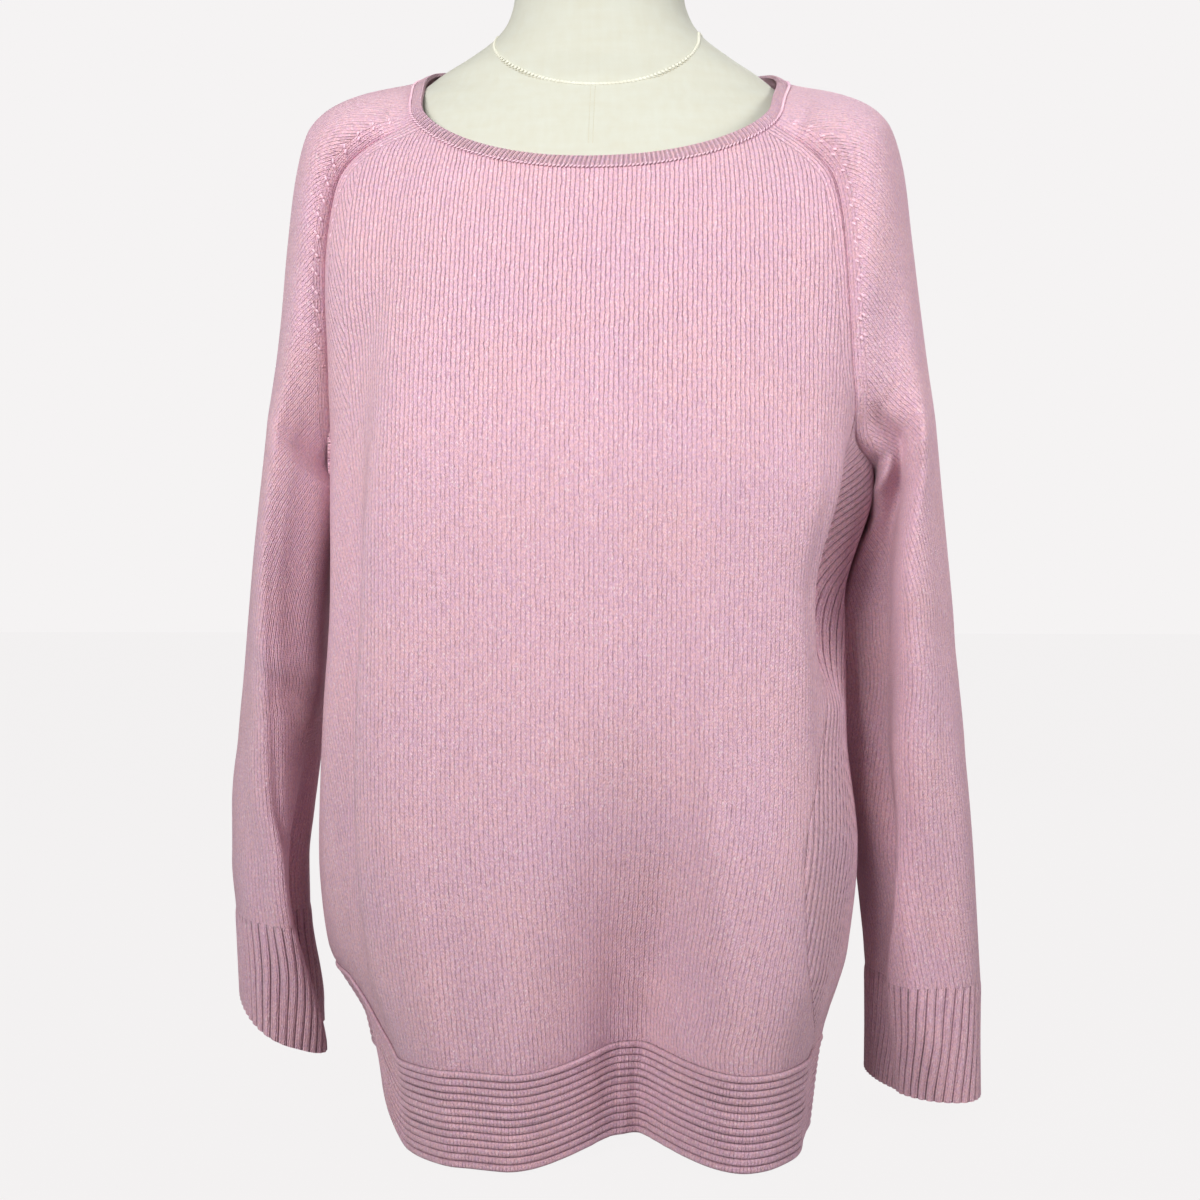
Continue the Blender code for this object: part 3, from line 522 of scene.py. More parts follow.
def crease_depth(creases: Sequence[Crease], dents: Sequence[Dent], around: Array, z: Array,
                 whole: float) -> Array:
    """How far the finer creases lift the cloth.

    Args:
        creases: Bends and valleys down the piece.
        dents: Hollows and swellings across it.
        around: Places round the piece, in the creases' own unit.
        z: Heights.
        whole: Once round the piece.

    Returns:
        The lift at each place.
    """
    out = np.zeros(len(z))
    for crease in creases:
        path = crease.path[::-1]
        across = (around - smooth(path, "place", z) + whole / 2) % whole - whole / 2
        reach = np.where(across < 0, crease.before, crease.after)
        share = np.clip(np.abs(across) / reach, 0.0, 1.0)
        out += smooth(path, "out", z) * np.cos(share * math.pi / 2) ** 2
    for dent in dents:
        across = (around - dent.place + whole / 2) % whole - whole / 2
        up = z - dent.z - dent.tilt * across
        out += dent.out * np.exp(-((across / dent.wide) ** 2) - (up / dent.tall) ** 2)
    return out


def outline(sections: Sequence[Section], around: Any, z: Any) -> tuple[Array, Array]:
    """Points on a sectioned form.

    Args:
        sections: The form's outline at several heights.
        around: Places round it, -1 to 1, with 0 at the front centre.
        z: Heights.

    Returns:
        The points, and the level outward direction at each.
    """
    half_turn = np.linspace(0.0, math.pi, OUTLINE_STEPS + 1)
    power = (2.0 / smooth(sections, "square", z))[:, None]
    reach = np.where(around >= 0, smooth(sections, "right", z), smooth(sections, "left", z))[:, None]
    middle = smooth(sections, "middle", z)[:, None]
    ahead = middle - smooth(sections, "front", z)[:, None]
    behind = smooth(sections, "back", z)[:, None] - middle
    x = reach * np.abs(np.sin(half_turn))[None, :] ** power
    cosine = np.abs(np.cos(half_turn))[None, :] ** power
    y = middle + np.where(half_turn[None, :] < math.pi / 2, -ahead * cosine, behind * cosine)
    run = running(np.hypot(np.diff(x, axis=1), np.diff(y, axis=1)), axis=1)
    target = np.abs(around) * run[:, -1]
    step = np.clip((run <= target[:, None]).sum(axis=1) - 1, 0, OUTLINE_STEPS - 1)
    rows = np.arange(len(z))
    t = (target - run[rows, step]) / np.maximum(run[rows, step + 1] - run[rows, step], 1e-9)
    side = np.where(around >= 0, 1.0, -1.0)
    along_x = x[rows, step + 1] - x[rows, step]
    along_y = y[rows, step + 1] - y[rows, step]
    points = np.stack([side * (x[rows, step] + along_x * t), y[rows, step] + along_y * t, z], axis=1)
    return points, unit(np.stack([side * along_y, -along_x, np.zeros(len(z))], axis=1))


# ---------------------------------------------------------------------------------------------
# Node graphs
# ---------------------------------------------------------------------------------------------
class Value:
    """A number on a node's socket, which takes part in Python expressions."""

    def __init__(self, graph: "Graph", socket: Any) -> None:
        """Wraps a socket of a graph."""
        self.graph = graph
        self.socket = socket

    def __add__(self, other: Any) -> "Value":
        """Sum."""
        return self.graph.math("ADD", self, other)

    __radd__ = __add__

    def __sub__(self, other: Any) -> "Value":
        """Difference."""
        return self.graph.math("SUBTRACT", self, other)

    def __rsub__(self, other: Any) -> "Value":
        """Difference, from a number."""
        return self.graph.math("SUBTRACT", other, self)

    def __mul__(self, other: Any) -> "Value":
        """Product."""
        return self.graph.math("MULTIPLY", self, other)

    __rmul__ = __mul__

    def __truediv__(self, other: Any) -> "Value":
        """Quotient."""
        return self.graph.math("DIVIDE", self, other)

    def __pow__(self, other: Any) -> "Value":
        """Power."""
        return self.graph.math("POWER", self, other)


Input = Union[Value, float, Sequence[float], Any]


class Graph:
    """A node tree under construction, for a finish or for stitches."""

    def __init__(self, tree: Any) -> None:
        """Starts on a tree."""
        self.tree = tree

    def node(self, kind: str, settings: Optional[dict[str, Any]] = None,
             sockets: Optional[dict[Any, Input]] = None) -> Any:
        """Adds a node.

        Args:
            kind: The node's type.
            settings: Its own properties, set before its sockets.
            sockets: Values or links of its inputs, by name or number.

        Returns:
            The node.
        """
        made = self.tree.nodes.new(kind)
        for name, value in (settings or {}).items():
            setattr(made, name, value)
        for name, value in (sockets or {}).items():
            socket = made.inputs[name]
            value = value.socket if isinstance(value, Value) else value
            if isinstance(value, bpy.types.NodeSocket):
                self.tree.links.new(value, socket)
            else:
                socket.default_value = value
        return made

    def value(self, node: Any, output: Any = 0) -> Value:
        """A node's output as a value."""
        return Value(self, node.outputs[output])

    def math(self, operation: str, *values: Input) -> Value:
        """Math node on numbers or values."""
        sockets = dict(enumerate(values))
        return self.value(self.node("ShaderNodeMath", {"operation": operation}, sockets))

    def clamped(self, value: Value) -> Value:
        """A value held between 0 and 1."""
        return self.value(self.node("ShaderNodeClamp", sockets={"Value": value}))

    def noise(self, scale: float, detail: float = 2.0, stretch: Sequence[float] = (1, 1, 1)) -> Value:
        """Noise from 0 to 1 on the piece's own coordinates.

        Args:
            scale: Waves in each metre.
            detail: Layers of finer noise.
            stretch: Scale along each axis.

        Returns:
            The noise.
        """
        vector = self.node("ShaderNodeTexCoord").outputs["Object"]
        placed = self.node("ShaderNodeMapping", sockets={"Vector": vector, "Scale": stretch})
        sockets = {"Vector": placed.outputs[0], "Scale": scale, "Detail": detail}
        return self.value(self.node("ShaderNodeTexNoise", sockets=sockets))

    def blend(self, factor: Input, first: Input, second: Input) -> Any:
        """Colour between two colours."""
        sockets = {"Factor": factor, 6: _rgba(first), 7: _rgba(second)}
        return self.node("ShaderNodeMix", {"data_type": "RGBA"}, sockets).outputs[2]


def _rgba(colour: Any) -> Any:
    """A colour with its alpha; links pass through."""
    return (*colour, 1.0) if isinstance(colour, tuple) else colour


def linear(red: int, green: int, blue: int) -> Colour:
    """Linear colour from display values of 0 to 255."""
    def channel(value: int) -> float:
        """One channel."""
        share = value / 255
        return share / 12.92 if share <= 0.04045 else ((share + 0.055) / 1.055) ** 2.4
    return channel(red), channel(green), channel(blue)


# ---------------------------------------------------------------------------------------------
# Finishes
# ---------------------------------------------------------------------------------------------
class Way(Enum):
    """Which way the grooves between ribs or ridges lie in a piece's knit map."""

    NONE = "none"
    ALONG = "along the wales"
    ACROSS = "across the wales"


@dataclass(frozen=True)
class Yarn:
    """Cashmere yarn: its colours on the crown, and the deep colour that paints the shade down between the
    stitches.
    """

    rosy: Colour = linear(241, 194, 202)
    lilac: Colour = linear(229, 186, 208)
    light: Colour = linear(250, 228, 234)
    # Painted shade: the dark colour that the knit takes in its hollows.
    deep: Colour = linear(150, 86, 112)
    sheen: float = 0.25


@dataclass(frozen=True)
class Knit:
    """Knitted finish on a piece's knit map, in metres across and along its wales."""

    name: str
    wale: float = 0.0027
    course: float = 0.0020
    relief: float = 0.0008
    stitch_shade: float = 0.24
    gap_shade: float = 0.32
    grain_shade: float = 0.85
    way: Way = Way.NONE
    rib: float = 0.0055
    groove: float = 0.30
    groove_shade: float = 0.65
    crisp_from: float = 0.39
    crisp_over: float = 0.09
    fuzz_scale: float = 1300.0
    grain_scale: float = 800.0
    cloud_scale: float = 22.0
    hue_scale: float = 560.0
    hue_spread: float = 3.5
    fleck_scale: float = 850.0
    fleck_from: float = 0.58
    fleck_share: float = 0.6
    wander_scales: tuple[float, float] = (160.0, 520.0)
    break_scale: float = 330.0
    gap_from: float = 0.66
    roughness: float = 0.9
    yarn: Yarn = Yarn()

    def material(self) -> Any:
        """Builds the material.

        Returns:
            The material.
        """
        made, graph, shader = new_material(self.name)
        height, gap, groove = self._stitches(graph)
        fuzz = graph.noise(self.fuzz_scale, 2.0)
        grain = graph.noise(self.grain_scale, 3.0, stretch=(1, 1, 0.8)) - 0.5
        cloud = graph.noise(self.cloud_scale, 2.0) - 0.5
        hue = graph.clamped((graph.noise(self.hue_scale, 2.0) - 0.5) * self.hue_spread + cloud * 1.2 + 0.5)
        crown = graph.blend(hue, self.yarn.rosy, self.yarn.lilac)
        flecks = graph.noise(self.fleck_scale, 1.0, stretch=(1, 1, 0.7)) - self.fleck_from
        crown = graph.blend(graph.clamped(flecks * 7.0) * self.fleck_share, crown, self.yarn.light)
        # Painted shade: the crown darkens towards the deep colour low in each stitch, in the gaps between
        # wales and in the grooves between ribs; the grain adds random tone.
        shade = (1.0 - height) * self.stitch_shade + gap * self.gap_shade + groove * self.groove_shade
        shade = graph.clamped(shade + grain * self.grain_shade)
        graph.tree.links.new(graph.blend(shade, crown, self.yarn.deep), shader.inputs["Base Color"])
        depth = height * 0.7 + fuzz * 0.3 - gap * 0.7 - grain * 0.6 - groove * 1.5
        add_bump(graph, shader, depth, 1.0, self.relief)
        set_plain(shader, {
            "Roughness": self.roughness, "Sheen Weight": self.yarn.sheen, "Sheen Roughness": 0.45,
            "Sheen Tint": (1.0, 0.93, 0.96, 1.0), "Specular IOR Level": 0.2})
        return made

    def _stitches(self, graph: Graph) -> tuple[Value, Value, Value]:
        """Stitches, the gaps between their columns, and grooves.

        Args:
            graph: The material's graph.

        Returns:
            Height of the stitches, depth of the gaps between wales, and depth of the grooves
            between ribs, each from 0 to 1.
        """
        places = graph.node("ShaderNodeUVMap", {"uv_map": KNIT_MAP})
        parts = graph.node("ShaderNodeSeparateXYZ", sockets={0: places.outputs[0]})
        across, along = graph.value(parts, 0), graph.value(parts, 1)
        slow, quick = (graph.noise(scale, 1.0) - 0.5 for scale in self.wander_scales)
        wander = slow * 0.5 + quick * 0.35
        wale = graph.math("PINGPONG", across / self.wale + wander, 0.5) * 2.0
        legs = graph.math("SINE", wale * math.pi)
        course = graph.math("COSINE", (along / self.course + wale + wander) * (2 * math.pi))
        height = graph.clamped(legs * (0.40 + 0.28 * course) + (1.0 - wale ** 4.0) * 0.40)
        place = graph.node("ShaderNodeTexCoord").outputs["Object"]
        up = graph.value(graph.node("ShaderNodeSeparateXYZ", sockets={0: place}), 2)
        crisp = graph.clamped((up - self.crisp_from) / self.crisp_over)
        broken = graph.clamped((graph.noise(self.break_scale, 1.0, stretch=(1, 1, 0.6)) - 0.46) * 6.0)
        gap = graph.clamped((wale - self.gap_from) * 3.0) * (broken * 0.35 + crisp * 0.5)
        if self.way is Way.NONE:
            return height, gap, graph.math("MULTIPLY", 0.0, 0.0)
        place = across if self.way is Way.ALONG else along
        rib = graph.math("PINGPONG", place / self.rib, 0.5) * 2.0
        groove = graph.clamped(1.0 - rib / self.groove)
        return height, gap, groove * groove


def new_material(name: str) -> tuple[Any, Graph, Any]:
    """Material with an empty graph around its shader.

    Args:
        name: The material's name.

    Returns:
        The material, its graph and its shader node.
    """
    made = bpy.data.materials.new(name)
    made.use_nodes = True
    return made, Graph(made.node_tree), made.node_tree.nodes["Principled BSDF"]


def add_bump(graph: Graph, shader: Any, height: Value, strength: float, distance: float) -> None:
    """Gives a shader a bump.

    Args:
        graph: The material's graph.
        shader: The shader.
        height: Height of the surface.
        strength: Strength of the bump.
        distance: Depth of a height of 1, in metres.
    """
    sockets = {"Strength": strength, "Distance": distance, "Height": height}
    bump = graph.node("ShaderNodeBump", sockets=sockets)
    graph.tree.links.new(bump.outputs[0], shader.inputs["Normal"])


def set_plain(shader: Any, values: dict[str, Any]) -> None:
    """Sets values that are the same all over the surface."""
    for name, value in values.items():
        shader.inputs[name].default_value = value


@dataclass(frozen=True)
class Linen:
    """Cream linen that covers the dress form."""

    name: str = "cream_linen"
    pale: Colour = linear(207, 209, 197)
    warm: Colour = linear(201, 199, 181)
    thread: float = 0.0009
    slub_scale: float = 220.0
    weave_depth: float = 0.0002

    def material(self) -> Any:
        """Builds the material."""
        made, graph, shader = new_material(self.name)
        places = graph.node("ShaderNodeUVMap", {"uv_map": KNIT_MAP})
        parts = graph.node("ShaderNodeSeparateXYZ", sockets={0: places.outputs[0]})
        weft = graph.math("SINE", graph.value(parts, 0) * (2 * math.pi / self.thread))
        warp = graph.math("SINE", graph.value(parts, 1) * (2 * math.pi / self.thread))
        upright, level = (graph.noise(self.slub_scale, 3.0, stretch=stretch)
                          for stretch in ((1, 1, 0.2), (0.2, 0.2, 1)))
        slub = upright + level
        weave = weft * warp * 0.5 + slub
        tone = graph.clamped(slub * 0.8 + weft * warp * 0.12 - 0.3)
        graph.tree.links.new(graph.blend(tone, self.pale, self.warm), shader.inputs["Base Color"])
        add_bump(graph, shader, weave, 0.6, self.weave_depth)
        set_plain(shader, {"Roughness": 0.85, "Sheen Weight": 0.15})
        return made


@dataclass(frozen=True)
class Plain:
    """Two-toned finish of sewn stitches, piping, paint and wood."""

    name: str
    light: Colour
    dark: Colour
    roughness: float
    stretch: tuple[float, float, float] = (1.0, 1.0, 1.0)
    grain_scale: float = 40.0
    fine_scale: float = 400.0
    grain_depth: float = 0.0003

    def material(self) -> Any:
        """Builds the material."""
        made, graph, shader = new_material(self.name)
        grain = graph.noise(self.grain_scale, 5.0, stretch=self.stretch)
        fine = graph.noise(self.fine_scale, 2.0, stretch=self.stretch)
        tone = graph.clamped((grain - 0.5) * 2.5 + (fine - 0.5) * 0.6 + 0.5)
        graph.tree.links.new(graph.blend(tone, self.light, self.dark), shader.inputs["Base Color"])
        add_bump(graph, shader, fine + grain, 0.3, self.grain_depth)
        set_plain(shader, {"Roughness": self.roughness})
        return made


# ---------------------------------------------------------------------------------------------
# Shells
# ---------------------------------------------------------------------------------------------
def corners(values: Array) -> Array:
    """Values at the four corners of each quad of a grid, in the faces' order."""
    return np.stack([values[:-1, :-1], values[:-1, 1:], values[1:, 1:], values[1:, :-1]], axis=2)


def turned(places: Array, degrees: float) -> Array:
    """Knit places turned, so that the wales lean."""
    c, s = math.cos(math.radians(degrees)), math.sin(math.radians(degrees))
    return places @ np.array([[c, -s], [s, c]])


@dataclass
class Shell:
    """One sewn piece: an outer skin on a grid, an inner skin and a rim all round."""

    name: str
    grid: Array
    knit: Array
    wall: float
    relief: Union[Array, float] = 0.0
    closed: bool = False
    joined_from: Optional[int] = None
    flip: bool = False
    match: float = 2e-5

    def __post_init__(self) -> None:
        """Numbers the points, finds the faces and the rim, and takes the outward directions."""
        rows, columns = self.grid.shape[:2]
        index = np.arange(rows * columns).reshape(rows, columns)
        if self.joined_from is not None:
            index[self.joined_from:, -1] = index[self.joined_from:, 0]
        self.index = index
        wrapped = np.concatenate([index, index[:, :1]], axis=1) if self.closed else index
        quads = corners(wrapped).reshape(-1, 4)
        self.places = self.knit.reshape(-1, 4, 2)
        if self.flip:
            quads, self.places = quads[:, ::-1], self.places[:, ::-1]
        self.quads = quads
        self.points = self.grid.reshape(-1, 3).copy()
        self.normals = self._normals()
        self.rim = self._open_edges()

    def _normals(self) -> Array:
        """Average outward direction at each point."""
        a, b, c, d = (self.points[self.quads[:, i]] for i in range(4))
        across = np.cross(c - a, d - b)
        normals = np.zeros_like(self.points)
        for i in range(4):
            np.add.at(normals, self.quads[:, i], across)
        return unit(normals)

    def _open_edges(self) -> Array:
        """Edges with one face: their start, their end, and the corner they leave in that face."""
        start = self.quads
        end = np.roll(self.quads, -1, axis=1)
        forward = start.astype(np.int64) * len(self.points) + end
        backward = end.astype(np.int64) * len(self.points) + start
        face, corner = np.nonzero(~np.isin(forward, backward))
        return np.stack([start[face, corner], end[face, corner], face, corner], axis=1)

    def reshape(self, grid: Array) -> None:
        """Takes new points for the grid."""
        self.grid = grid
        self.__post_init__()

    def keys(self) -> dict[tuple[int, ...], int]:
        """Rim points by their rounded place."""
        rim = np.unique(self.rim[:, :2])
        return {tuple(np.round(self.points[i] / self.match).astype(int)): i for i in rim}

    def draw_back(self, gap: float) -> None:
        """Moves the rim back from its seams by a distance."""
        back = np.zeros_like(self.points)
        for a, b in ((0, 1), (1, 0)):
            ends, others = self.rim[:, a], self.rim[:, b]
            along = (self.points[self.rim[:, 1]] - self.points[self.rim[:, 0]])
            inward = unit(np.cross(self.normals[ends] + self.normals[others], along))
            np.add.at(back, ends, inward)
        size = np.maximum((back ** 2).sum(axis=1, keepdims=True), 0.5)
        self.points = self.points + back / size * 2 * gap

    def line(self, column: int, rows: slice = slice(None), lift: float = 0.0) -> tuple[Array, Array]:
        """A column of the outer skin.

        Args:
            column: The column's number.
            rows: Which of its rows.
            lift: How far the line stands off the skin.

        Returns:
            Its points and their outward directions.
        """
        ids = self.index[rows, column]
        return self.points[ids] + self.normals[ids] * lift, self.normals[ids]

    def flat_cut(self) -> tuple[float, float, float]:
        """Sizes of the piece laid flat.

        Returns:
            Its width at its widest row, its length at its longest column, and its area.
        """
        grid = np.concatenate([self.grid, self.grid[:, :1]], axis=1) if self.closed else self.grid
        width = np.linalg.norm(np.diff(grid, axis=1), axis=2).sum(axis=1).max()
        length = np.linalg.norm(np.diff(grid, axis=0), axis=2).sum(axis=0).max()
        a, b, c, d = (self.points[self.quads[:, i]] for i in range(4))
        area = np.linalg.norm(np.cross(c - a, d - b), axis=1).sum() / 2
        return float(width), float(length), float(area)

    def build(self, material: Any) -> Any:
        """Makes the object.

        Args:
            material: The piece's finish.

        Returns:
            The object, in the scene.
        """
        relief = np.broadcast_to(np.asarray(self.relief, float), self.grid.shape[:2]).reshape(-1, 1)
        outer = self.points + self.normals * relief
        inner = self.points - self.normals * self.wall
        count = len(self.points)
        a, b, face, corner = self.rim.T
        rims = np.stack([b, a, a + count, b + count], axis=1)
        first, second = self.places[face, corner], self.places[face, (corner + 1) % 4]
        rim_places = np.stack([second, first, first, second], axis=1)
        faces = np.concatenate([self.quads, self.quads[:, ::-1] + count, rims])
        places = np.concatenate([self.places, self.places[:, ::-1], rim_places])
        edges = np.concatenate([self.rim[:, :2], self.rim[:, :2] + count])
        return mesh_object(self.name, np.concatenate([outer, inner]), faces, places, material, edges)


def mesh_object(name: str, points: Array, faces: Array, places: Array, material: Any,
                sharp: Optional[Array] = None) -> Any:
    """Object from arrays, shaded smooth, with its knit map.

    Args:
        name: The object's name.
        points: Its points; unused ones are dropped.
        faces: Four point numbers for each face.
        places: Knit places at each face's corners.
        material: Its finish.
        sharp: Point numbers of the edges that aren't shaded across.

    Returns:
        The object, in the scene.
    """
    used, faces = np.unique(faces, return_inverse=True)
    faces = faces.reshape(-1, 4)
    mesh = bpy.data.meshes.new(name)
    mesh.vertices.add(len(used))
    mesh.vertices.foreach_set("co", points[used].astype(np.float32).ravel())
    mesh.loops.add(faces.size)
    mesh.loops.foreach_set("vertex_index", faces.astype(np.int32).ravel())
    mesh.polygons.add(len(faces))
    mesh.polygons.foreach_set("loop_start", np.arange(0, faces.size, 4, dtype=np.int32))
    mesh.update(calc_edges=True)
    knit = mesh.uv_layers.new(name=KNIT_MAP)
    knit.data.foreach_set("uv", places.astype(np.float32).ravel())
    mesh.shade_smooth()
    if sharp is not None:
        ends = np.zeros(2 * len(mesh.edges), dtype=np.int32)
        mesh.edges.foreach_get("vertices", ends)
        ends = np.sort(ends.reshape(-1, 2), axis=1).astype(np.int64)
        edges = np.sort(np.searchsorted(used, sharp), axis=1)
        marked = np.isin(ends[:, 0] * len(used) + ends[:, 1], edges[:, 0] * len(used) + edges[:, 1])
        mesh.attributes.new("sharp_edge", "BOOLEAN", "EDGE").data.foreach_set("value", marked)
    mesh.materials.append(material)
    mesh.validate()
    made = bpy.data.objects.new(name, mesh)
    bpy.context.scene.collection.objects.link(made)
    return made


def soften_neckline(front: Shell, right: Shell, back: Shell, left: Shell, smoothing: int = 900,
                    reach: float = 0.045) -> None:
    """Takes the corners out of the neckline that four pieces share.

    Args:
        front: Front panel, whose last row is its neckline.
        right: Right sleeve, whose first row is its neckline.
        back: Back panel.
        left: Left sleeve.
        smoothing: Passes of smoothing along the line.
        reach: How far down the pieces the change fades.
    """
    edges = ((front, True, False), (right, False, False), (back, True, False), (left, False, True))
    lines = [shell.grid[-1 if top else 0] for shell, top, _ in edges]
    lines = [line[::-1] if turn else line for line, (_, _, turn) in zip(lines, edges)]
    loop = np.concatenate([line[:-1] for line in lines] + [lines[0][:1]])
    run = run_of(loop)
    places = np.linspace(0.0, run[-1], 1000)
    even = respaced(loop, places)[:-1]
    soft = even
    for _ in range(smoothing):
        soft = (np.roll(soft, 1, axis=0) + 2.0 * soft + np.roll(soft, -1, axis=0)) / 4.0
    moves = np.concatenate([soft - even, (soft - even)[:1]])
    start = 0
    for line, (shell, top, turn) in zip(lines, edges):
        at = run[start:start + len(line)]
        start += len(line) - 1
        move = np.stack([np.interp(at, places, column) for column in moves.T], axis=1)
        move = move[::-1] if turn else move
        rows = shell.grid[::-1] if top else shell.grid
        down = running(np.linalg.norm(np.diff(rows, axis=0), axis=2))
        moved = rows + move[None] * (1.0 - ease(down / reach))[:, :, None]
        shell.reshape(moved[::-1] if top else moved)


def share_seams(shells: Sequence[Shell]) -> None:
    """Gives pieces that meet at a seam one outward direction along it."""
    meeting: dict[tuple[int, ...], list[tuple[Shell, int]]] = {}
    for shell in shells:
        for key, point in shell.keys().items():
            meeting.setdefault(key, []).append((shell, point))
    for members in meeting.values():
        shared = unit(sum(shell.normals[point] for shell, point in members))
        for shell, point in members:
            shell.normals[point] = shared


# ---------------------------------------------------------------------------------------------
# The sweater
# ---------------------------------------------------------------------------------------------
@dataclass
class SweaterBody:
    """Front, back and ribbed side panels, and the deep ridged hem band."""

    cloth_wall: float = 0.0018
    band_wall: float = 0.0024
    hem_foot: float = 0.0025
    hem_height: float = 0.0545
    hem_rise: float = 0.038
    hem_lift_places: tuple[float, ...] = (-0.27, -0.38, -0.60, -0.86)
    arch_rise: float = 0.0075
    arch_place: float = 0.075
    arch_reach: float = 0.150
    neck_dip: dict[str, float] = field(default_factory=lambda: {"front": 0.0325, "back": -0.012})
    ridges: int = 13
    ridge_rise: float = 0.0013
    roll_rise: float = 0.0018
    rib_pitch: float = 0.0055
    rib_rise: float = 0.0009
    panel_columns: int = 116
    body_rows: int = 84
    cap_rows: int = 54
    underarm_rows: int = 40
    hem_columns: int = 300
    ridge_rows: int = 8
    dense: int = 300
    seam_edges: tuple[float, ...] = (0.0, 0.0007, 0.0035, 0.0070, 0.0100)
    seam_dip: float = 0.0003
    hem_tuck: float = 0.0006
    tuck_reach: float = 0.004
    flank: float = -0.335
    flank_lean: float = 17.0
    dip_power: float = 2.3
    rib_bend: float = 4.2
    bend_from: float = 0.30
    ripple: float = 0.10
    ripple_waves: tuple[float, float, float] = (23.0, 17.0, 9.0)

    def surface(self, around: Any, z: Any) -> Array:
        """Outer surface of the body.

        Args:
            around: Places round it, -1 to 1.
            z: Heights.

        Returns:
            The points.
        """
        around, z = np.broadcast_arrays(np.asarray(around, float), np.asarray(z, float))
        shape = around.shape
        around, z = around.ravel(), z.ravel()
        points, normals = outline(BODY, around, z)
        lift = fold_depth(BODY_FOLDS, around, z) + crease_depth(BODY_CREASES, BODY_DENTS, around, z, 2.0)
        points = points + normals * lift[:, None]
        points[:, 1] -= crease_depth(RAGLAN_PULLS, (), around, z, 2.0)
        return points.reshape(shape + (3,))

    def hem_lift(self, around: Any) -> Array:
        """How far the hem band rides up round the left side and over the front's arch."""
        around = np.asarray(around, float)
        start, full, hold, end = self.hem_lift_places
        side = self.hem_rise * ease((start - around) / (start - full)) * ease((around - end) / (hold - end))
        share = np.clip(np.abs(around - self.arch_place) / self.arch_reach, 0.0, 1.0)
        return side + self.arch_rise * np.cos(share * math.pi / 2) ** 2

    def hem_top(self, around: Any) -> Array:
        """Height of the seam between the hem band and the panels."""
        return self.hem_foot + self.hem_height + self.hem_lift(around)

    def ways(self) -> Array:
        """Ways down the armholes at which the panels and the sleeves have their rows."""
        upper = np.linspace(0.0, CORNER_WAY, self.cap_rows + 1)
        lower = np.linspace(CORNER_WAY, 1.0, self.underarm_rows + 1)[1:]
        return np.concatenate([upper, lower])

    def armhole(self, side: str) -> tuple[Array, Array]:
        """Front and back armhole seams at every way."""
        table, ways = RAGLANS[side], self.ways()
        front = self.surface(smooth(table, "front", ways), smooth(table, "front_z", ways))
        back = self.surface(smooth(table, "back", ways), smooth(table, "back_z", ways))
        return front, back

    def seam_place(self, side: str, half: str, t: Any) -> Array:
        """Place of a side seam round the body, t of the way from the hem band to the armhole."""
        corner_z = float(smooth(RAGLANS[side], half + "_z", CORNER_WAY))
        corner = float(smooth(RAGLANS[side], half, CORNER_WAY))
        seam = [Place(row.z, getattr(row, side + "_" + half)) for row in SIDE_SEAMS]
        seam.append(Place(corner_z, corner))
        foot = self.hem_top(seam[0].around)
        return smooth(seam, "around", foot + (corner_z - foot) * t)

    def panel(self, half: str) -> Shell:
        """Front or back panel: up between the side seams, then between the armholes.

        Args:
            half: "front" or "back".

        Returns:
            The panel.
        """
        dense = np.linspace(0.0, 1.0, self.dense + 1)
        first, last = ("left", "right") if half == "front" else ("right", "left")
        lap, centre = (0.0, 0.0) if half == "front" else (2.0, 1.0)

        def level(way: float) -> Array:
            """Height across the panel between its two armhole seams."""
            start, end = (smooth(RAGLANS[side], half + "_z", way) for side in (first, last))
            return start + (end - start) * dense

        rows, places = [], []

        def add_row(ends: Sequence[float], z: Any) -> None:
            """Puts a row of points between two places, spaced evenly between its edges."""
            around = ends[0] + (ends[1] + lap - ends[0]) * dense
            wrapped = np.where(around > 1.0, around - 2.0, around)
            height = z(wrapped) if callable(z) else z
            line = np.column_stack([self.surface(wrapped, height), around])
            run = run_of(line)
            at = spread(run[-1], self.seam_edges, self.panel_columns)
            rows.append(respaced(line, at))
            places.append(at - np.interp(centre, around, run))

        corner = level(CORNER_WAY)
        for t in np.concatenate([[0.0, 0.003], np.linspace(0.0, 1.0, self.body_rows)[1:-1]]):
            ends = [float(self.seam_place(side, half, t)) for side in (first, last)]
            add_row(ends, lambda around: (1 - t) * self.hem_top(around) + t * corner)
        body_rows = len(rows)
        for way in self.ways()[self.cap_rows::-1]:
            ends = [float(smooth(RAGLANS[side], half, way)) for side in (first, last)]
            dip = self.neck_dip[half] * ease(1.0 - way / CORNER_WAY)
            dip = dip * (1.0 - np.abs(2.0 * dense - 1.0) ** self.dip_power)
            add_row(ends, level(way) - dip)
        grid = np.array(rows)
        knit = self._panel_knit(grid, np.array(places), body_rows, half)
        relief = self._edge_relief(grid.shape[0], grid.shape[1])
        above_hem = run_of(grid[:, grid.shape[1] // 2])[:, None]
        relief = relief - self.hem_tuck * (1.0 - ease(above_hem / self.tuck_reach))
        return Shell(half + "_panel_knit", grid[:, :, :3], knit, self.cloth_wall, relief)

    def _edge_relief(self, rows: int, columns: int) -> Array:
        """Small dip of a piece along its two side seams."""
        relief = np.zeros((rows, columns))
        relief[:, [0, -1]] = -self.seam_dip
        return relief

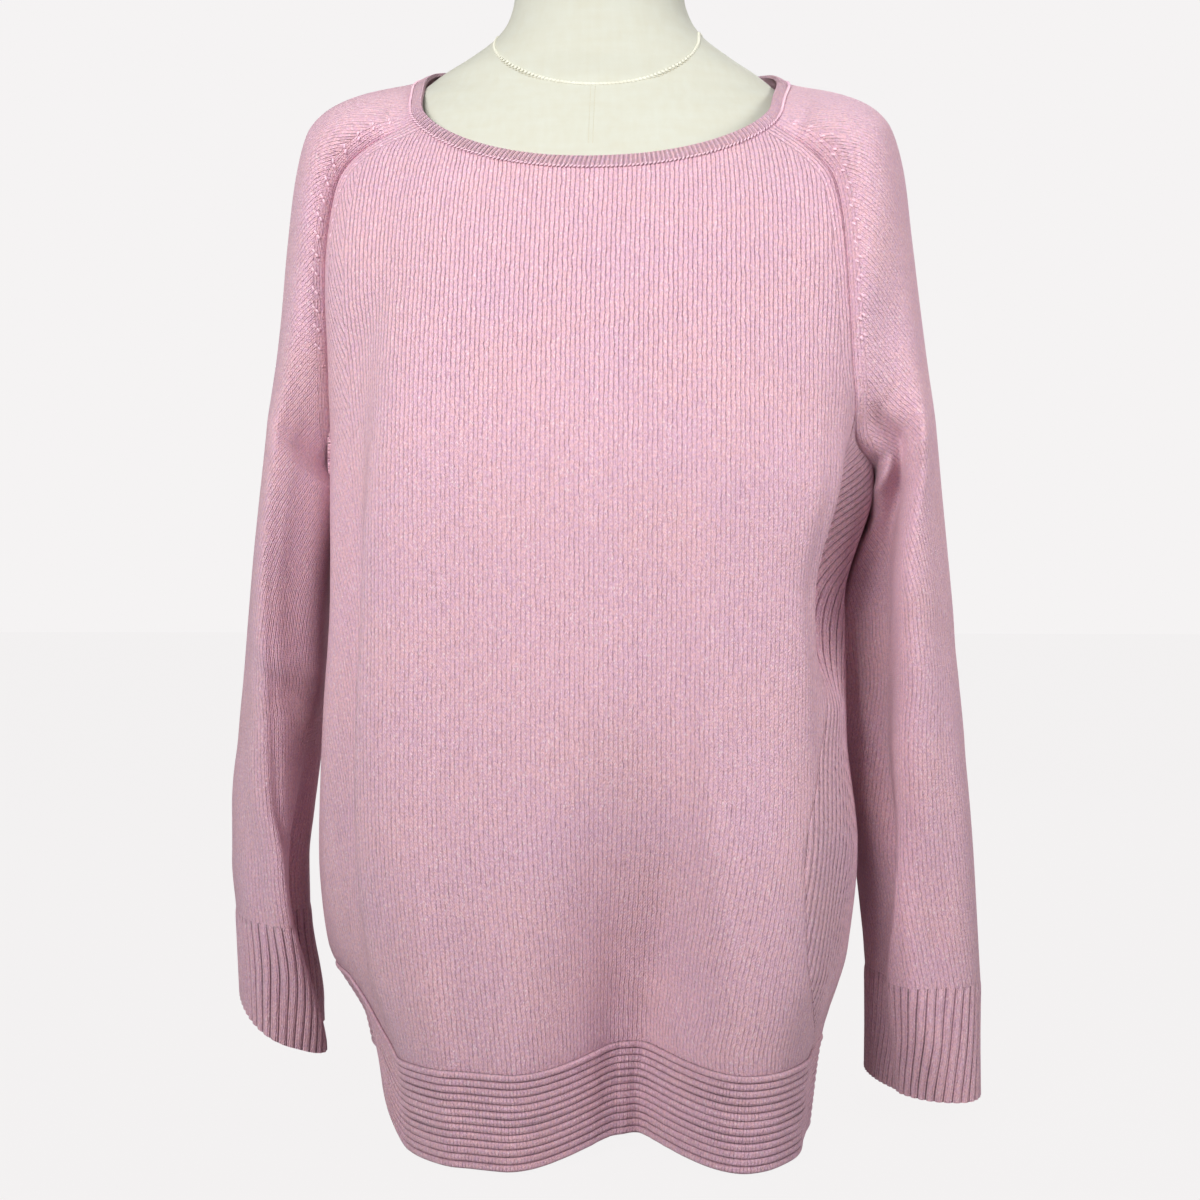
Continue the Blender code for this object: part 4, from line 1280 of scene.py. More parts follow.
    def _panel_knit(self, grid: Array, across: Array, body_rows: int, half: str) -> Array:
        """Knit places of a panel: upright wales, plain ones beside the armholes, a leaning flank.

        Args:
            grid: The panel's points with their places round the body.
            across: Length along each row from the panel's centre.
            body_rows: Rows below the armholes.
            half: "front" or "back".

        Returns:
            Knit places at each quad's corners.
        """
        points = grid[:, :, :3]
        climb = np.hypot(np.diff(points[:, :, 1], axis=0), np.diff(points[:, :, 2], axis=0))
        along = running(climb)
        knit = corners(np.stack([across, along], axis=2))
        flank = self.flank if half == "front" else -2.0
        leaning = (grid[:-1, :-1, 3] < flank)[:, :, None, None]
        knit = np.where(leaning, turned(knit, self.flank_lean), knit)
        edge = len(self.seam_edges) - 1
        steps = np.linalg.norm(np.diff(points, axis=0), axis=2)
        for columns, seam in ((slice(0, edge), 0), (slice(-edge, None), -1)):
            length = running(steps[:, seam])[:, None]
            beside = np.stack([across - across[:, [seam]], np.broadcast_to(length, across.shape)], axis=2)
            knit[body_rows:, columns] = corners(beside)[body_rows:, columns]
        return knit

    def side_panel(self, side: str) -> Shell:
        """Ribbed side panel: narrow at the hem band, its top edge round the underarm.

        Args:
            side: "right" or "left".

        Returns:
            The panel.
        """
        ways = self.ways()[self.cap_rows:]
        table = RAGLANS[side]
        head = np.concatenate([smooth(table, "front", ways), smooth(table, "back", ways)[-2::-1]])
        head_z = np.concatenate([smooth(table, "front_z", ways), smooth(table, "back_z", ways)[-2::-1]])
        first, last = ("front", "back") if side == "right" else ("back", "front")
        if side == "left":
            head, head_z = head[::-1], head_z[::-1]
        share = (head - head[0]) / (head[-1] - head[0])
        even = np.linspace(0.0, 1.0, len(head))
        rows = []
        for t in np.linspace(0.0, 1.0, 2 * self.body_rows + 1):
            start, end = (float(self.seam_place(side, half, t)) for half in (first, last))
            around = start + (end - start) * (even + (share - even) * t)
            foot = self.hem_top(around)
            rows.append(self.surface(around, foot + (head_z - foot) * t))
        grid = np.array(rows)
        steps = np.linalg.norm(np.diff(grid, axis=1), axis=2)
        across = running(steps, axis=1)
        if side == "right":
            across = across[:, -1:] - across
        z = grid[:, :, 2]
        places = across + self.rib_bend * np.maximum(z - self.bend_from, 0.0) ** 2
        relief = self.rib_rise * (crest(places / self.rib_pitch, 0.5) - 0.6)
        relief = relief + self._edge_relief(*relief.shape)
        knit = corners(np.stack([places, z], axis=2))
        return Shell(f"side_panel_{side}_knit", grid, knit, self.cloth_wall, relief)

    def hem_band(self) -> Shell:
        """Deep band of level ridges, with a rounder rolled one at its top."""
        around = np.linspace(-1.0, 1.0, self.hem_columns + 1)[:-1]
        rows = self.ridges * self.ridge_rows
        level = np.linspace(0.0, 1.0, rows + 1)[:, None]
        z = self.hem_foot + self.hem_lift(around)[None, :] + self.hem_height * level
        grid = self.surface(np.broadcast_to(around, z.shape), z)
        first, second, third = self.ripple_waves
        ripple = self.ripple * np.sin(around * first)[None, :] * np.sin(level * second + around * third)
        phase = self.ridges * level + ripple * np.sin(np.pi * level)
        rise = np.where(phase > self.ridges - 1, self.roll_rise, self.ridge_rise)
        relief = rise * crest(phase, 0.6) - 0.0005
        closing = np.concatenate([grid, grid[:, :1]], axis=1)
        across = np.broadcast_to(run_of(closing[0]), closing.shape[:2])
        along = np.broadcast_to(level * self.ridges, closing.shape[:2])
        knit = corners(np.stack([across, along * self.ridge_pitch()], axis=2))
        return Shell("hem_band_knit", grid, knit, self.band_wall, relief, closed=True)

    def ridge_pitch(self) -> float:
        """Height of one ridge of the hem band."""
        return self.hem_height / self.ridges


@dataclass
class Sleeves:
    """Raglan sleeves with their ribbed cuffs."""

    body: SweaterBody
    columns: int = 112
    tube_rows: int = 76
    ribs: int = 48
    rib_columns: int = 8
    cuff_rows: int = 18
    cuff_rise: float = 0.0012
    rib_pitch: float = 0.0054
    cuff_length: float = 0.070
    joining_way: float = 0.25
    seam_reach: float = 0.30
    knit_centre: float = 0.28
    knit_height: float = 0.26
    knit_radius: float = 0.25

    def oval(self, front_seam: Array, back_seam: Array, ridge: Array, half_depth: float,
             ahead: Array, side: str) -> Array:
        """One row round a sleeve, from its front seam over its outer line to its back seam.

        Args:
            front_seam: Its first point.
            back_seam: Its last point.
            ridge: Its outermost point.
            half_depth: Half its depth, front to back.
            ahead: Which way its front lies.
            side: "right" or "left".

        Returns:
            Evenly turned points.
        """
        turns = np.linspace(0.0, 1.0, self.body.dense + 1)
        middle = (front_seam + back_seam) / 2
        between = (front_seam - back_seam) * np.array([0.0, 1.0, 1.0])
        span = np.linalg.norm(between) / 2
        half_depth = max(half_depth, span * 1.0001)
        opening = math.asin(span / half_depth)
        reach = (ridge - middle) / (1.0 + math.cos(opening))
        ahead = unit(between) if span > 0.0 else unit(ahead)
        turn = opening + (2 * math.pi - 2 * opening) * turns
        points = ridge - reach - np.outer(np.cos(turn), reach) + half_depth * np.outer(np.sin(turn), ahead)
        degrees, z = np.degrees(turn), points[:, 2]
        points = points + np.outer(fold_depth(SLEEVE_FOLDS[side], degrees, z), ahead)
        outward = unit(np.outer(-np.cos(turn), unit(reach)) + np.outer(np.sin(turn), ahead))
        points += outward * crease_depth(SLEEVE_CREASES[side], SLEEVE_DENTS[side], degrees, z, 360.0)[:, None]
        near_front = ease(1.0 - turns / self.seam_reach)
        near_back = ease(1.0 - (1.0 - turns) / self.seam_reach)
        points += np.outer(near_front, front_seam - points[0]) + np.outer(near_back, back_seam - points[-1])
        return points

    def cap_ridge(self, side: str, way: float) -> Array:
        """Point on the line over the shoulder and down the arm."""
        x = SIGN[side] * smooth(CAP, side, way)
        z = smooth(CAP, "z", way) + SHOULDER_TILT * x * (1.0 - way)
        return np.array([x, smooth(CAP, "y", way), z])

    def tube_lines(self, table: Sequence[Tube], side: str, way: float) -> tuple[Array, Array]:
        """Inner and outer points of a sleeve at one way down it."""
        mirror = np.array([SIGN[side], 1.0, 1.0])
        inner = np.array([smooth(table, "inner_" + axis, way) for axis in "xyz"]) * mirror
        outer = np.array([smooth(table, "outer_" + axis, way) for axis in "xyz"]) * mirror
        return inner, outer

    def tube_row(self, table: Sequence[Tube], side: str, way: float,
                 start: Optional[tuple[Array, Array]] = None) -> Array:
        """One row round a sleeve or cuff.

        Args:
            table: The sleeve's or the cuff's rows.
            side: "right" or "left".
            way: How far down it.
            start: Points that the first rows join: the underarm and the outer line.

        Returns:
            The row's points.
        """
        inner, outer = self.tube_lines(table, side, way)
        if start is not None:
            first_inner, first_outer = self.tube_lines(table, side, 0.0)
            joining = 1.0 - ease(way / self.joining_way)
            inner = inner + (start[0] - first_inner) * joining
            outer = outer + (start[1] - first_outer) * joining
        depth, lean, dip = (float(smooth(table, column, way)) for column in ("half_depth", "lean", "dip"))
        ahead = np.array([0.0, -1.0, 0.0]) - np.array([SIGN[side] * lean, 0.0, dip])
        return self.oval(inner, inner, outer, depth, ahead, side)

    def sleeve(self, side: str) -> Shell:
        """Sleeve from the neckband over the shoulder to the cuff.

        Args:
            side: "right" or "left".

        Returns:
            The sleeve.
        """
        ways = self.body.ways()
        front, back = self.body.armhole(side)
        dense_rows = []
        for i, way in enumerate(ways):
            depth = float(smooth(CAP, "depth_" + side, way))
            dense_rows.append(self.oval(front[i], back[i], self.cap_ridge(side, way), depth,
                                        np.array([0.0, -1.0, 0.0]), side))
        start = (front[-1], self.cap_ridge(side, 1.0))
        for way in np.concatenate([np.linspace(0.0, 1.0, self.tube_rows)[1:-1], [0.997, 1.0]]):
            dense_rows.append(self.tube_row(TUBES[side], side, way, start))
        rows, beside, from_ridge = [], [], []
        for line in dense_rows:
            run = run_of(line)
            at = spread(run[-1], self.body.seam_edges, self.columns)
            rows.append(respaced(line, at))
            beside.append(np.minimum(at, run[-1] - at))
            from_ridge.append(at - run[self.body.dense // 2])
        grid = np.array(rows)
        knit = self._sleeve_knit(grid, np.array(beside), np.array(from_ridge), len(ways))
        relief = np.zeros(grid.shape[:2])
        relief[:, [0, -1]] = -self.body.seam_dip
        flip = side == "right"
        return Shell(f"sleeve_{side}_knit", grid, knit, self.body.cloth_wall, relief,
                     joined_from=len(ways) - 1, flip=flip)

    def _sleeve_knit(self, grid: Array, beside: Array, from_ridge: Array, cap_rows: int) -> Array:
        """Knit places of a sleeve: its wales fan round from the armhole to run down the arm.

        Args:
            grid: The sleeve's points.
            beside: Length along each row from the nearer seam.
            from_ridge: Length along each row from the outer line.
            cap_rows: Rows above the underarm.

        Returns:
            Knit places at each quad's corners.
        """
        out = self.knit_centre - np.abs(from_ridge)
        rise = grid[:, :, 2] - self.knit_height
        up = np.maximum(rise, 0.0)
        across = np.hypot(out, up)
        along = np.where(rise > 0.0, self.knit_radius * np.arctan2(up, out), rise)
        knit = corners(np.stack([across, along], axis=2))
        edge = len(self.body.seam_edges) - 1
        steps = np.linalg.norm(np.diff(grid, axis=0), axis=2)
        for columns, seam in ((slice(0, edge), 0), (slice(-edge, None), -1)):
            length = running(steps[:, seam])[:, None]
            plain = corners(np.stack([beside, np.broadcast_to(length, beside.shape)], axis=2))
            knit[:cap_rows, columns] = plain[:cap_rows, columns]
        return knit

    def cuff(self, side: str) -> Shell:
        """Ribbed cuff below the sleeve's last row.

        Args:
            side: "right" or "left".

        Returns:
            The cuff.
        """
        columns = self.ribs * self.rib_columns
        share = np.linspace(0.0, 1.0, columns + 1)
        ways = np.concatenate([[0.0, 0.015], np.linspace(0.0, 1.0, self.cuff_rows)[1:]])
        front = self.body.dense // 4
        rows, first = [], None
        for way in ways:
            line = self.tube_row(CUFFS[side], side, way)
            run = run_of(line)
            start = run[front] - SIGN[side] * line[front, 0]
            first = start if first is None else first
            rows.append(respaced(line, (share[:-1] * run[-1] + start - first) % run[-1]))
        grid = np.array(rows)
        ways = ways[:, None]
        phase = share * self.ribs
        fade = ease(ways * self.cuff_length / CUFF_FADE)
        relief = self.cuff_rise * (crest(phase[:-1], 0.6) - 0.4)[None, :] * fade
        across = np.broadcast_to(phase * self.rib_pitch, (len(rows), columns + 1))
        along = np.broadcast_to(ways * self.cuff_length, across.shape)
        knit = corners(np.stack([across, along], axis=2))
        return Shell(f"cuff_{side}_knit", grid, knit, self.body.band_wall, relief,
                     closed=True, flip=side == "right")


@dataclass
class Neckband:
    """Narrow ribbed band carried on from the edges of the four pieces below it."""

    height: float = 0.0078
    rise: float = 0.35
    smoothing: int = 400
    reach_rows: int = 6
    rib_pitch: float = 0.0028
    rib_columns: int = 6
    rib_rise: float = 0.0007
    rows: int = 7
    wall: float = 0.0020
    swell: float = 0.0006

    def build(self, front: Shell, right: Shell, back: Shell, left: Shell) -> Shell:
        """Follows the neckline.

        Args:
            front: Front panel, whose last row is its neckline.
            right: Right sleeve, whose first row is its neckline.
            back: Back panel.
            left: Left sleeve.

        Returns:
            The band.
        """
        k = self.reach_rows
        edge = np.concatenate([front.grid[-1][:-1], right.grid[0][:-1], back.grid[-1][:-1],
                               left.grid[0][::-1][:-1]])
        below = np.concatenate([front.grid[-1 - k][:-1], right.grid[k][:-1], back.grid[-1 - k][:-1],
                                left.grid[k][::-1][:-1]])
        line = np.concatenate([edge, edge[:1]])
        lead = unit(edge - below)
        lead[:, 2] += self.rise
        both = np.column_stack([line, np.concatenate([lead, lead[:1]])])
        total = run_of(both)[-1]
        ribs = int(round(total / self.rib_pitch))
        share = np.linspace(0.0, 1.0, ribs * self.rib_columns + 1)
        even = respaced(both, share * total)[:-1]
        edge, lead = even[:, :3], even[:, 3:]
        for _ in range(self.smoothing):
            lead = unit(np.roll(lead, 1, axis=0) + 2.0 * lead + np.roll(lead, -1, axis=0))
        levels = np.linspace(0.0, 1.0, self.rows)[:, None, None]
        grid = edge[None] + lead[None] * self.height * levels
        relief = self.rib_rise * (crest(share[:-1] * ribs, 0.7) - 0.5)[None, :]
        relief = relief * np.ones((self.rows, 1)) + self.swell * np.sin(np.pi * levels[:, :, 0])
        across = np.broadcast_to(share * ribs * self.rib_pitch, (self.rows, len(share)))
        along = np.broadcast_to(levels[:, :, 0] * self.height, across.shape)
        knit = corners(np.stack([across, along], axis=2))
        return Shell("neckband_knit", grid, knit, self.wall, relief, closed=True)


# ---------------------------------------------------------------------------------------------
# Stitches that follow a line
# ---------------------------------------------------------------------------------------------
@dataclass(frozen=True)
class StitchRow:
    """One kind of stitch set along lines: its pitch and the size and turn of each stitch."""

    name: str
    pitch: float
    size: tuple[float, float, float]
    turn: float = 0.0
    wander: float = 10.0
    seed: int = 7

    def tree(self) -> Any:
        """Builds the stitching tree.

        Returns:
            A geometry tree with inputs for the lines, pitch, size, turn, wander and finish.
        """
        made = bpy.data.node_groups.new(self.name, "GeometryNodeTree")
        face = made.interface
        face.new_socket("Geometry", in_out="OUTPUT", socket_type="NodeSocketGeometry")
        kinds = (("Geometry", "Geometry"), ("Pitch", "Float"), ("Size", "Vector"), ("Turn", "Float"),
                 ("Wander", "Float"), ("Finish", "Material"))
        for name, kind in kinds:
            face.new_socket(name, in_out="INPUT", socket_type="NodeSocket" + kind)
        graph = Graph(made)
        given = graph.node("NodeGroupInput").outputs
        curve = graph.node("GeometryNodeMeshToCurve", sockets={"Mesh": given["Geometry"]})
        even = graph.node("GeometryNodeResampleCurve", {"mode": "LENGTH"},
                          {"Curve": curve.outputs[0], "Length": given["Pitch"]})
        outward = graph.node("GeometryNodeInputNamedAttribute", {"data_type": "FLOAT_VECTOR"},
                             {"Name": "outward"})
        tangent = graph.node("GeometryNodeInputTangent")
        stand = graph.node("FunctionNodeAxesToRotation", {"primary_axis": "Z", "secondary_axis": "X"},
                           {0: outward.outputs[0], 1: tangent.outputs[0]})
        drift = graph.node("FunctionNodeRandomValue", {"data_type": "FLOAT"}, {"Seed": self.seed})
        loose = (graph.value(drift, 1) - 0.5) * Value(graph, given["Wander"]) + Value(graph, given["Turn"])
        spin = graph.node("ShaderNodeCombineXYZ", sockets={"Z": loose * math.radians(1.0)})
        turn = graph.node("FunctionNodeEulerToRotation", sockets={0: spin.outputs[0]})
        whole = graph.node("FunctionNodeRotateRotation", {"rotation_space": "LOCAL"},
                           {0: stand.outputs[0], 1: turn.outputs[0]})
        grain = graph.node("GeometryNodeMeshIcoSphere", sockets={"Radius": 0.5, "Subdivisions": 2})
        placed = graph.node("GeometryNodeInstanceOnPoints", sockets={
            "Points": even.outputs[0], "Instance": grain.outputs[0],
            "Rotation": whole.outputs[0], "Scale": given["Size"]})
        real = graph.node("GeometryNodeRealizeInstances", sockets={0: placed.outputs[0]})
        soft = graph.node("GeometryNodeSetShadeSmooth", sockets={0: real.outputs[0]})
        done = graph.node("GeometryNodeSetMaterial",
                          sockets={0: soft.outputs[0], "Material": given["Finish"]})
        graph.node("NodeGroupOutput", sockets={0: done.outputs[0]})
        return made

    def sew(self, name: str, lines: Sequence[tuple[Array, Array]], material: Any) -> Any:
        """Sets stitches along lines.

        Args:
            name: The object's name.
            lines: Points and outward directions of each line.
            material: The yarn's finish.

        Returns:
            The stitches, as one plain mesh in the scene.
        """
        points = np.concatenate([line for line, _ in lines])
        outward = np.concatenate([normal for _, normal in lines])
        edges, start = [], 0
        for line, _ in lines:
            edges += [(start + i, start + i + 1) for i in range(len(line) - 1)]
            start += len(line)
        path = bpy.data.meshes.new(name + "_path")
        path.from_pydata(points.tolist(), edges, [])
        path.attributes.new("outward", "FLOAT_VECTOR", "POINT").data.foreach_set(
            "vector", outward.astype(np.float32).ravel())
        carrier = bpy.data.objects.new(name + "_path", path)
        bpy.context.scene.collection.objects.link(carrier)
        sewing = carrier.modifiers.new("sewing", "NODES")
        sewing.node_group = self.tree()
        values = {"Pitch": self.pitch, "Size": self.size, "Turn": self.turn, "Wander": self.wander,
                  "Finish": material}
        for item in sewing.node_group.interface.items_tree:
            if item.in_out == "INPUT" and item.name in values:
                sewing[item.identifier] = values[item.name]
        bpy.context.view_layer.update()
        ready = carrier.evaluated_get(bpy.context.evaluated_depsgraph_get())
        mesh = bpy.data.meshes.new_from_object(ready)
        bpy.data.objects.remove(carrier)
        made = bpy.data.objects.new(name, mesh)
        bpy.context.scene.collection.objects.link(made)
        return made


def beside(shell: Shell, column: int, aside: float, rows: slice, lift: float) -> tuple[Array, Array]:
    """Line on a piece that keeps a distance from one of its side seams.

    Args:
        shell: The piece.
        column: Its seam's column, 0 or -1.
        aside: Distance from the seam.
        rows: The rows that it crosses.
        lift: How far it stands off the cloth.

    Returns:
        The line's points and outward directions.
    """
    numbers = range(*rows.indices(shell.index.shape[0]))
    points, normals = [], []
    for row in numbers:
        ids = shell.index[row] if column == 0 else shell.index[row][::-1]
        near = ids[:COLUMNS_BESIDE]
        line = np.column_stack([shell.points[near], shell.normals[near]])
        at = respaced(line, np.array([aside]))[0]
        normals.append(at[3:])
        points.append(at[:3] + unit(at[3:]) * lift)
    return np.array(points), unit(np.array(normals))


# ---------------------------------------------------------------------------------------------
# The dress form
# ---------------------------------------------------------------------------------------------
@dataclass
class DressForm:
    """Limbless form: a torso covered in linen, a cap on its neck and a block under it."""

    columns: int = 160
    chest_z: float = 0.48
    shoulder_z: float = 0.62
    neck_z: float = 0.69
    gap: float = 0.0004
    seam_side: float = 0.668
    seam_front: float = 0.044
    seam_back: float = 0.664
    front_foot: float = 0.585
    front_pair: float = 0.0013
    # Drop of the painted shadow line below the neck seam.
    painted_shadow_drop: float = 0.0017
    fine_from: float = 0.52
    body_levels: int = 49
    neck_levels: int = 97
    seam_points: int = 720
    front_points: int = 160
    neck_centre: tuple[float, float, float] = (0.0, 0.008, 0.60)
    base_levels: tuple[float, ...] = (0.0, 0.02, 0.0396)
    cap_profile: tuple[tuple[float, float], ...] = (
        (1.0, 0.0), (1.0, 0.004), (0.94, 0.008), (0.80, 0.0105), (0.45, 0.0125), (0.15, 0.0130))

    def turn(self) -> Array:
        """Places of the columns round the form."""
        return np.linspace(-1.0, 1.0, self.columns + 1)[:-1]

    def ring(self, sections: Sequence[Section], around: Array, z: Array) -> Array:
        """Points on the form, its shoulders tilted as the wearer's would be."""
        points = outline(sections, around, z)[0]
        tilt = ease((z - self.chest_z) / (self.shoulder_z - self.chest_z))
        tilt = tilt * ease((self.neck_z - z) / (self.neck_z - self.shoulder_z))
        points[:, 2] += SHOULDER_TILT * points[:, 0] * tilt
        return points

    def torso(self, material: Any) -> Any:
        """Linen torso with its neck."""
        around = self.turn()
        foot, top = FORM[0].z, FORM[-1].z
        levels = np.concatenate([np.linspace(foot, self.fine_from, self.body_levels)[:-1],
                                 np.linspace(self.fine_from, top, self.neck_levels)])
        rows = [self.ring(FORM, around, np.full(self.columns, z)) for z in levels]
        return self._closed("form_torso_cover", rows, material)

    def seam_lines(self) -> dict[str, list[tuple[Array, Array]]]:
        """Seams of the cover: round the base of the neck with a painted shadow line below it, and paired rows
        down the front and back.

        Returns:
            Points and outward directions of each line, by seam.
        """
        around = np.linspace(-1.0, 1.0, self.seam_points + 1)[:-1]
        low = self.seam_front * np.cos(np.clip(np.abs(around) * 2.2, 0.0, 1.0) * math.pi / 2) ** 1.5
        z = self.seam_side - low - (self.seam_side - self.seam_back) * ease((np.abs(around) - 0.5) / 0.5)
        neck = self.ring(FORM, around, z)
        neck_out = unit(neck - np.array(self.neck_centre))
        # Painted shadow: the line just below the neck seam, kept under the key "fold", stands for the shadow
        # under the piping.
        below = neck - np.array([0.0, 0.0, self.painted_shadow_drop])
        lines = {"neck": [(neck, neck_out)], "fold": [(below, neck_out)], "front": []}
        count = self.front_points
        heights = np.linspace(float(z[np.argmin(np.abs(around))]), self.front_foot, count)
        for side in (-1.0, 1.0):
            for place in (0.0, 1.0):
                middle = self.ring(FORM, np.full(count, place), heights)
                line = middle + np.array([side * self.front_pair, 0.0, 0.0])
                out = np.array([0.0, -1.0 if place == 0.0 else 1.0, 0.35])
                lines["front"].append((line, np.tile(unit(out), (count, 1))))
        return lines

    def neck_cap(self, material: Any) -> Any:
        """Domed cap on the neck."""
        around = self.turn()
        top = FORM[-1].z
        neck = self.ring(FORM, around, np.full(self.columns, top))
        centre = neck.mean(axis=0)
        rows = []
        for share, rise in self.cap_profile:
            ring = centre + (neck - centre) * share
            ring[:, 2] = top + self.gap + rise
            rows.append(ring)
        return self._closed("form_neck_cap_turned", rows, material)

    def base(self, material: Any) -> Any:
        """Block that the torso stands on."""
        around = self.turn()
        rows = [self.ring(BASE, around, np.full(self.columns, z)) for z in self.base_levels]
        return self._closed("form_base_block", rows, material)

    def _closed(self, name: str, rows: Sequence[Array], material: Any) -> Any:
        """Closed mesh through rings, with a fan at each end.

        Args:
            name: The object's name.
            rows: Rings, from the lowest up.
            material: Its finish.

        Returns:
            The object.
        """
        grid = np.array(rows)
        ends = [np.repeat(grid[i].mean(axis=0)[None], self.columns, axis=0) for i in (0, -1)]
        grid = np.concatenate([ends[0][None], grid, ends[1][None]])
        count, columns = grid.shape[:2]
        index = np.arange(count * columns).reshape(count, columns)
        index = np.concatenate([index, index[:, :1]], axis=1)
        closing = np.concatenate([grid, grid[:, :1]], axis=1)
        steps = np.linalg.norm(np.diff(closing, axis=1), axis=2)
        across = running(steps, axis=1)
        across = across - across[:, [self.columns // 2]]
        places = corners(np.stack([across, closing[:, :, 2]], axis=2)).reshape(-1, 4, 2)
        made = mesh_object(name, grid.reshape(-1, 3), corners(index).reshape(-1, 4), places, material)
        weld(made)
        return made


def weld(piece: Any) -> None:
    """Merges a piece's doubled points."""
    made = bmesh.new()
    made.from_mesh(piece.data)
    bmesh.ops.remove_doubles(made, verts=made.verts, dist=WELD_DISTANCE)
    made.to_mesh(piece.data)
    made.free()


# ---------------------------------------------------------------------------------------------
# Floor, light and camera
# ---------------------------------------------------------------------------------------------
class Lamp(NamedTuple):
    """Square soft lamp: its place, what it faces, its side, its watts and its spread in degrees."""

    name: str
    place: tuple[float, float, float]
    aim: tuple[float, float, float]
    size: float
    power: float
    spread: float


@dataclass
class Studio:
    """Plain pale floor, soft lamps and the camera."""

    paper: Colour = linear(245, 243, 243)
    camera_place: tuple[float, float, float] = (0.0900, -1.0291, 0.3186)
    azimuth: float = 5.0
    lens: float = 50.0
    board: Colour = (0.45, 0.44, 0.44)
    world_strength: float = 0.21
    floor_glow: float = 0.975
    floor_size: float = 30.0
    lamps: tuple[Lamp, ...] = (
        Lamp("key", (-0.50, -1.25, 0.93), (-0.01, 0.0, 0.54), 0.6, 5.0, 86.0),
        Lamp("window", (1.05, -0.50, 0.80), (0.20, 0.0, 0.44), 0.5, 1.5, 70.0),
        Lamp("rear", (0.35, 1.60, 1.20), (0.0, 0.0, 0.40), 0.9, 12.0, 170.0),
    )

    def build(self) -> None:
        """Makes the floor, the world, the lamps and the camera."""
        self._floor()
        self._world()
        for lamp in self.lamps:
            self._lamp(lamp)
        self._camera()

    @staticmethod
    def _seen(graph: Graph) -> Value:
        """Whether a ray shows the surroundings to the camera: straight, mirrored or through glass."""
        rays = graph.node("ShaderNodeLightPath")
        names = ("Is Camera Ray", "Is Glossy Ray", "Is Transmission Ray")
        return graph.clamped(sum(graph.value(rays, name) for name in names))

    def _floor(self) -> None:
        """Floor that keeps a soft shadow."""
        bpy.ops.mesh.primitive_plane_add(size=self.floor_size, location=(0.0, 0.0, 0.0))
        floor = bpy.context.object
        floor.name = "floor"
        made, graph, shader = new_material("pale_floor")
        set_plain(shader, {"Base Color": (*self.board, 1.0), "Roughness": 0.9, "Specular IOR Level": 0.1})
        glow = graph.node("ShaderNodeEmission", sockets={"Color": (*self.paper, 1.0), "Strength": 1.0})
        factor = self._seen(graph) * self.floor_glow
        output = made.node_tree.nodes["Material Output"]
        mixed = graph.node("ShaderNodeMixShader",
                           sockets={0: factor, 1: shader.outputs[0], 2: glow.outputs[0]})
        graph.tree.links.new(mixed.outputs[0], output.inputs["Surface"])
        floor.data.materials.append(made)

    def _world(self) -> None:
        """Pale surroundings."""
        world = bpy.data.worlds.new("studio")
        world.use_nodes = True
        bpy.context.scene.world = world
        graph = Graph(world.node_tree)
        seen = self._seen(graph)
        strength = seen * (1.0 - self.world_strength) + self.world_strength
        sockets = {"Color": (*self.paper, 1.0), "Strength": strength}
        sky = graph.node("ShaderNodeBackground", sockets=sockets)
        graph.tree.links.new(sky.outputs[0], world.node_tree.nodes["World Output"].inputs["Surface"])

    @staticmethod
    def _lamp(given: Lamp) -> None:
        """Hangs a lamp."""
        light = bpy.data.lights.new(given.name, "AREA")
        light.size = given.size
        light.energy = given.power
        light.spread = math.radians(given.spread)
        made = bpy.data.objects.new(given.name, light)
        made.location = given.place
        made.rotation_euler = _facing(given.place, given.aim)
        made.visible_camera = False
        bpy.context.scene.collection.objects.link(made)

    def _camera(self) -> None:
        """Level camera in front, a little to the viewer's right."""
        camera = bpy.data.cameras.new("camera")
        camera.lens = self.lens
        camera.sensor_width = 36.0
        made = bpy.data.objects.new("camera", camera)
        made.location = self.camera_place
        made.rotation_euler = (math.radians(90.0), 0.0, math.radians(self.azimuth))
        bpy.context.scene.collection.objects.link(made)
        bpy.context.scene.camera = made
        bpy.context.scene.view_settings.view_transform = "Standard"


def _facing(place: Sequence[float], aim: Sequence[float]) -> Any:
    """Rotation of a lamp at a place that faces a point."""
    return (Vector(aim) - Vector(place)).to_track_quat("-Z", "Y").to_euler()


def dress(piece: Any, node: str) -> None:
    """Makes a piece stand for its solid."""
    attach(piece, "root")
    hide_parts(node)
    log.info("%s: %d faces", piece.name, len(piece.data.polygons))


def trim(piece: Any, node: str) -> None:
    """Makes a piece ride with the object."""
    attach(piece, "root")
    log.info("%s: %d faces", piece.name, len(piece.data.polygons))


def declare_cloth(shells: dict[str, Shell]) -> None:
    """States each piece's flat cut: its widest row, its longest column and its own area.

    The neckband is too narrow to be a sheet by itself, so it is skipped.

    Args:
        shells: The pieces, by the solids that they stand for.
    """
    hangs_from = {"sleeve_right": "form_torso", "sleeve_left": "form_torso",
                  "cuff_right": "sleeve_right", "cuff_left": "sleeve_left"}
    for node, shell in shells.items():
        if node == "neckband":
            continue
        width, length, area = shell.flat_cut()
        "hung" if node in hangs_from else "draped"
        log.info("%s: cut %.3f by %.3f m, %.4f m2", shell.name, width, length, area)


LINKING = StitchRow("linking", 0.0021, (0.0007, 0.0014, 0.0006))
CHAIN = StitchRow("chain", 0.0024, (0.0028, 0.0010, 0.0013), turn=35.0, wander=30.0)
SLEEVE_MARK = StitchRow("fashioning", 0.0105, (0.0032, 0.0015, 0.0017), turn=40.0, wander=20.0)
PANEL_MARK = StitchRow("panel_fashioning", 0.0084, (0.0030, 0.0013, 0.0014), turn=-35.0, wander=20.0)
SEAM_SUNK = -0.0005
MARK_LIFT = 0.0001
CHAIN_LIFT = 0.0009
SLEEVE_MARKS_ASIDE = (0.0072, 0.0100)
PANEL_MARKS_ASIDE = 0.0080


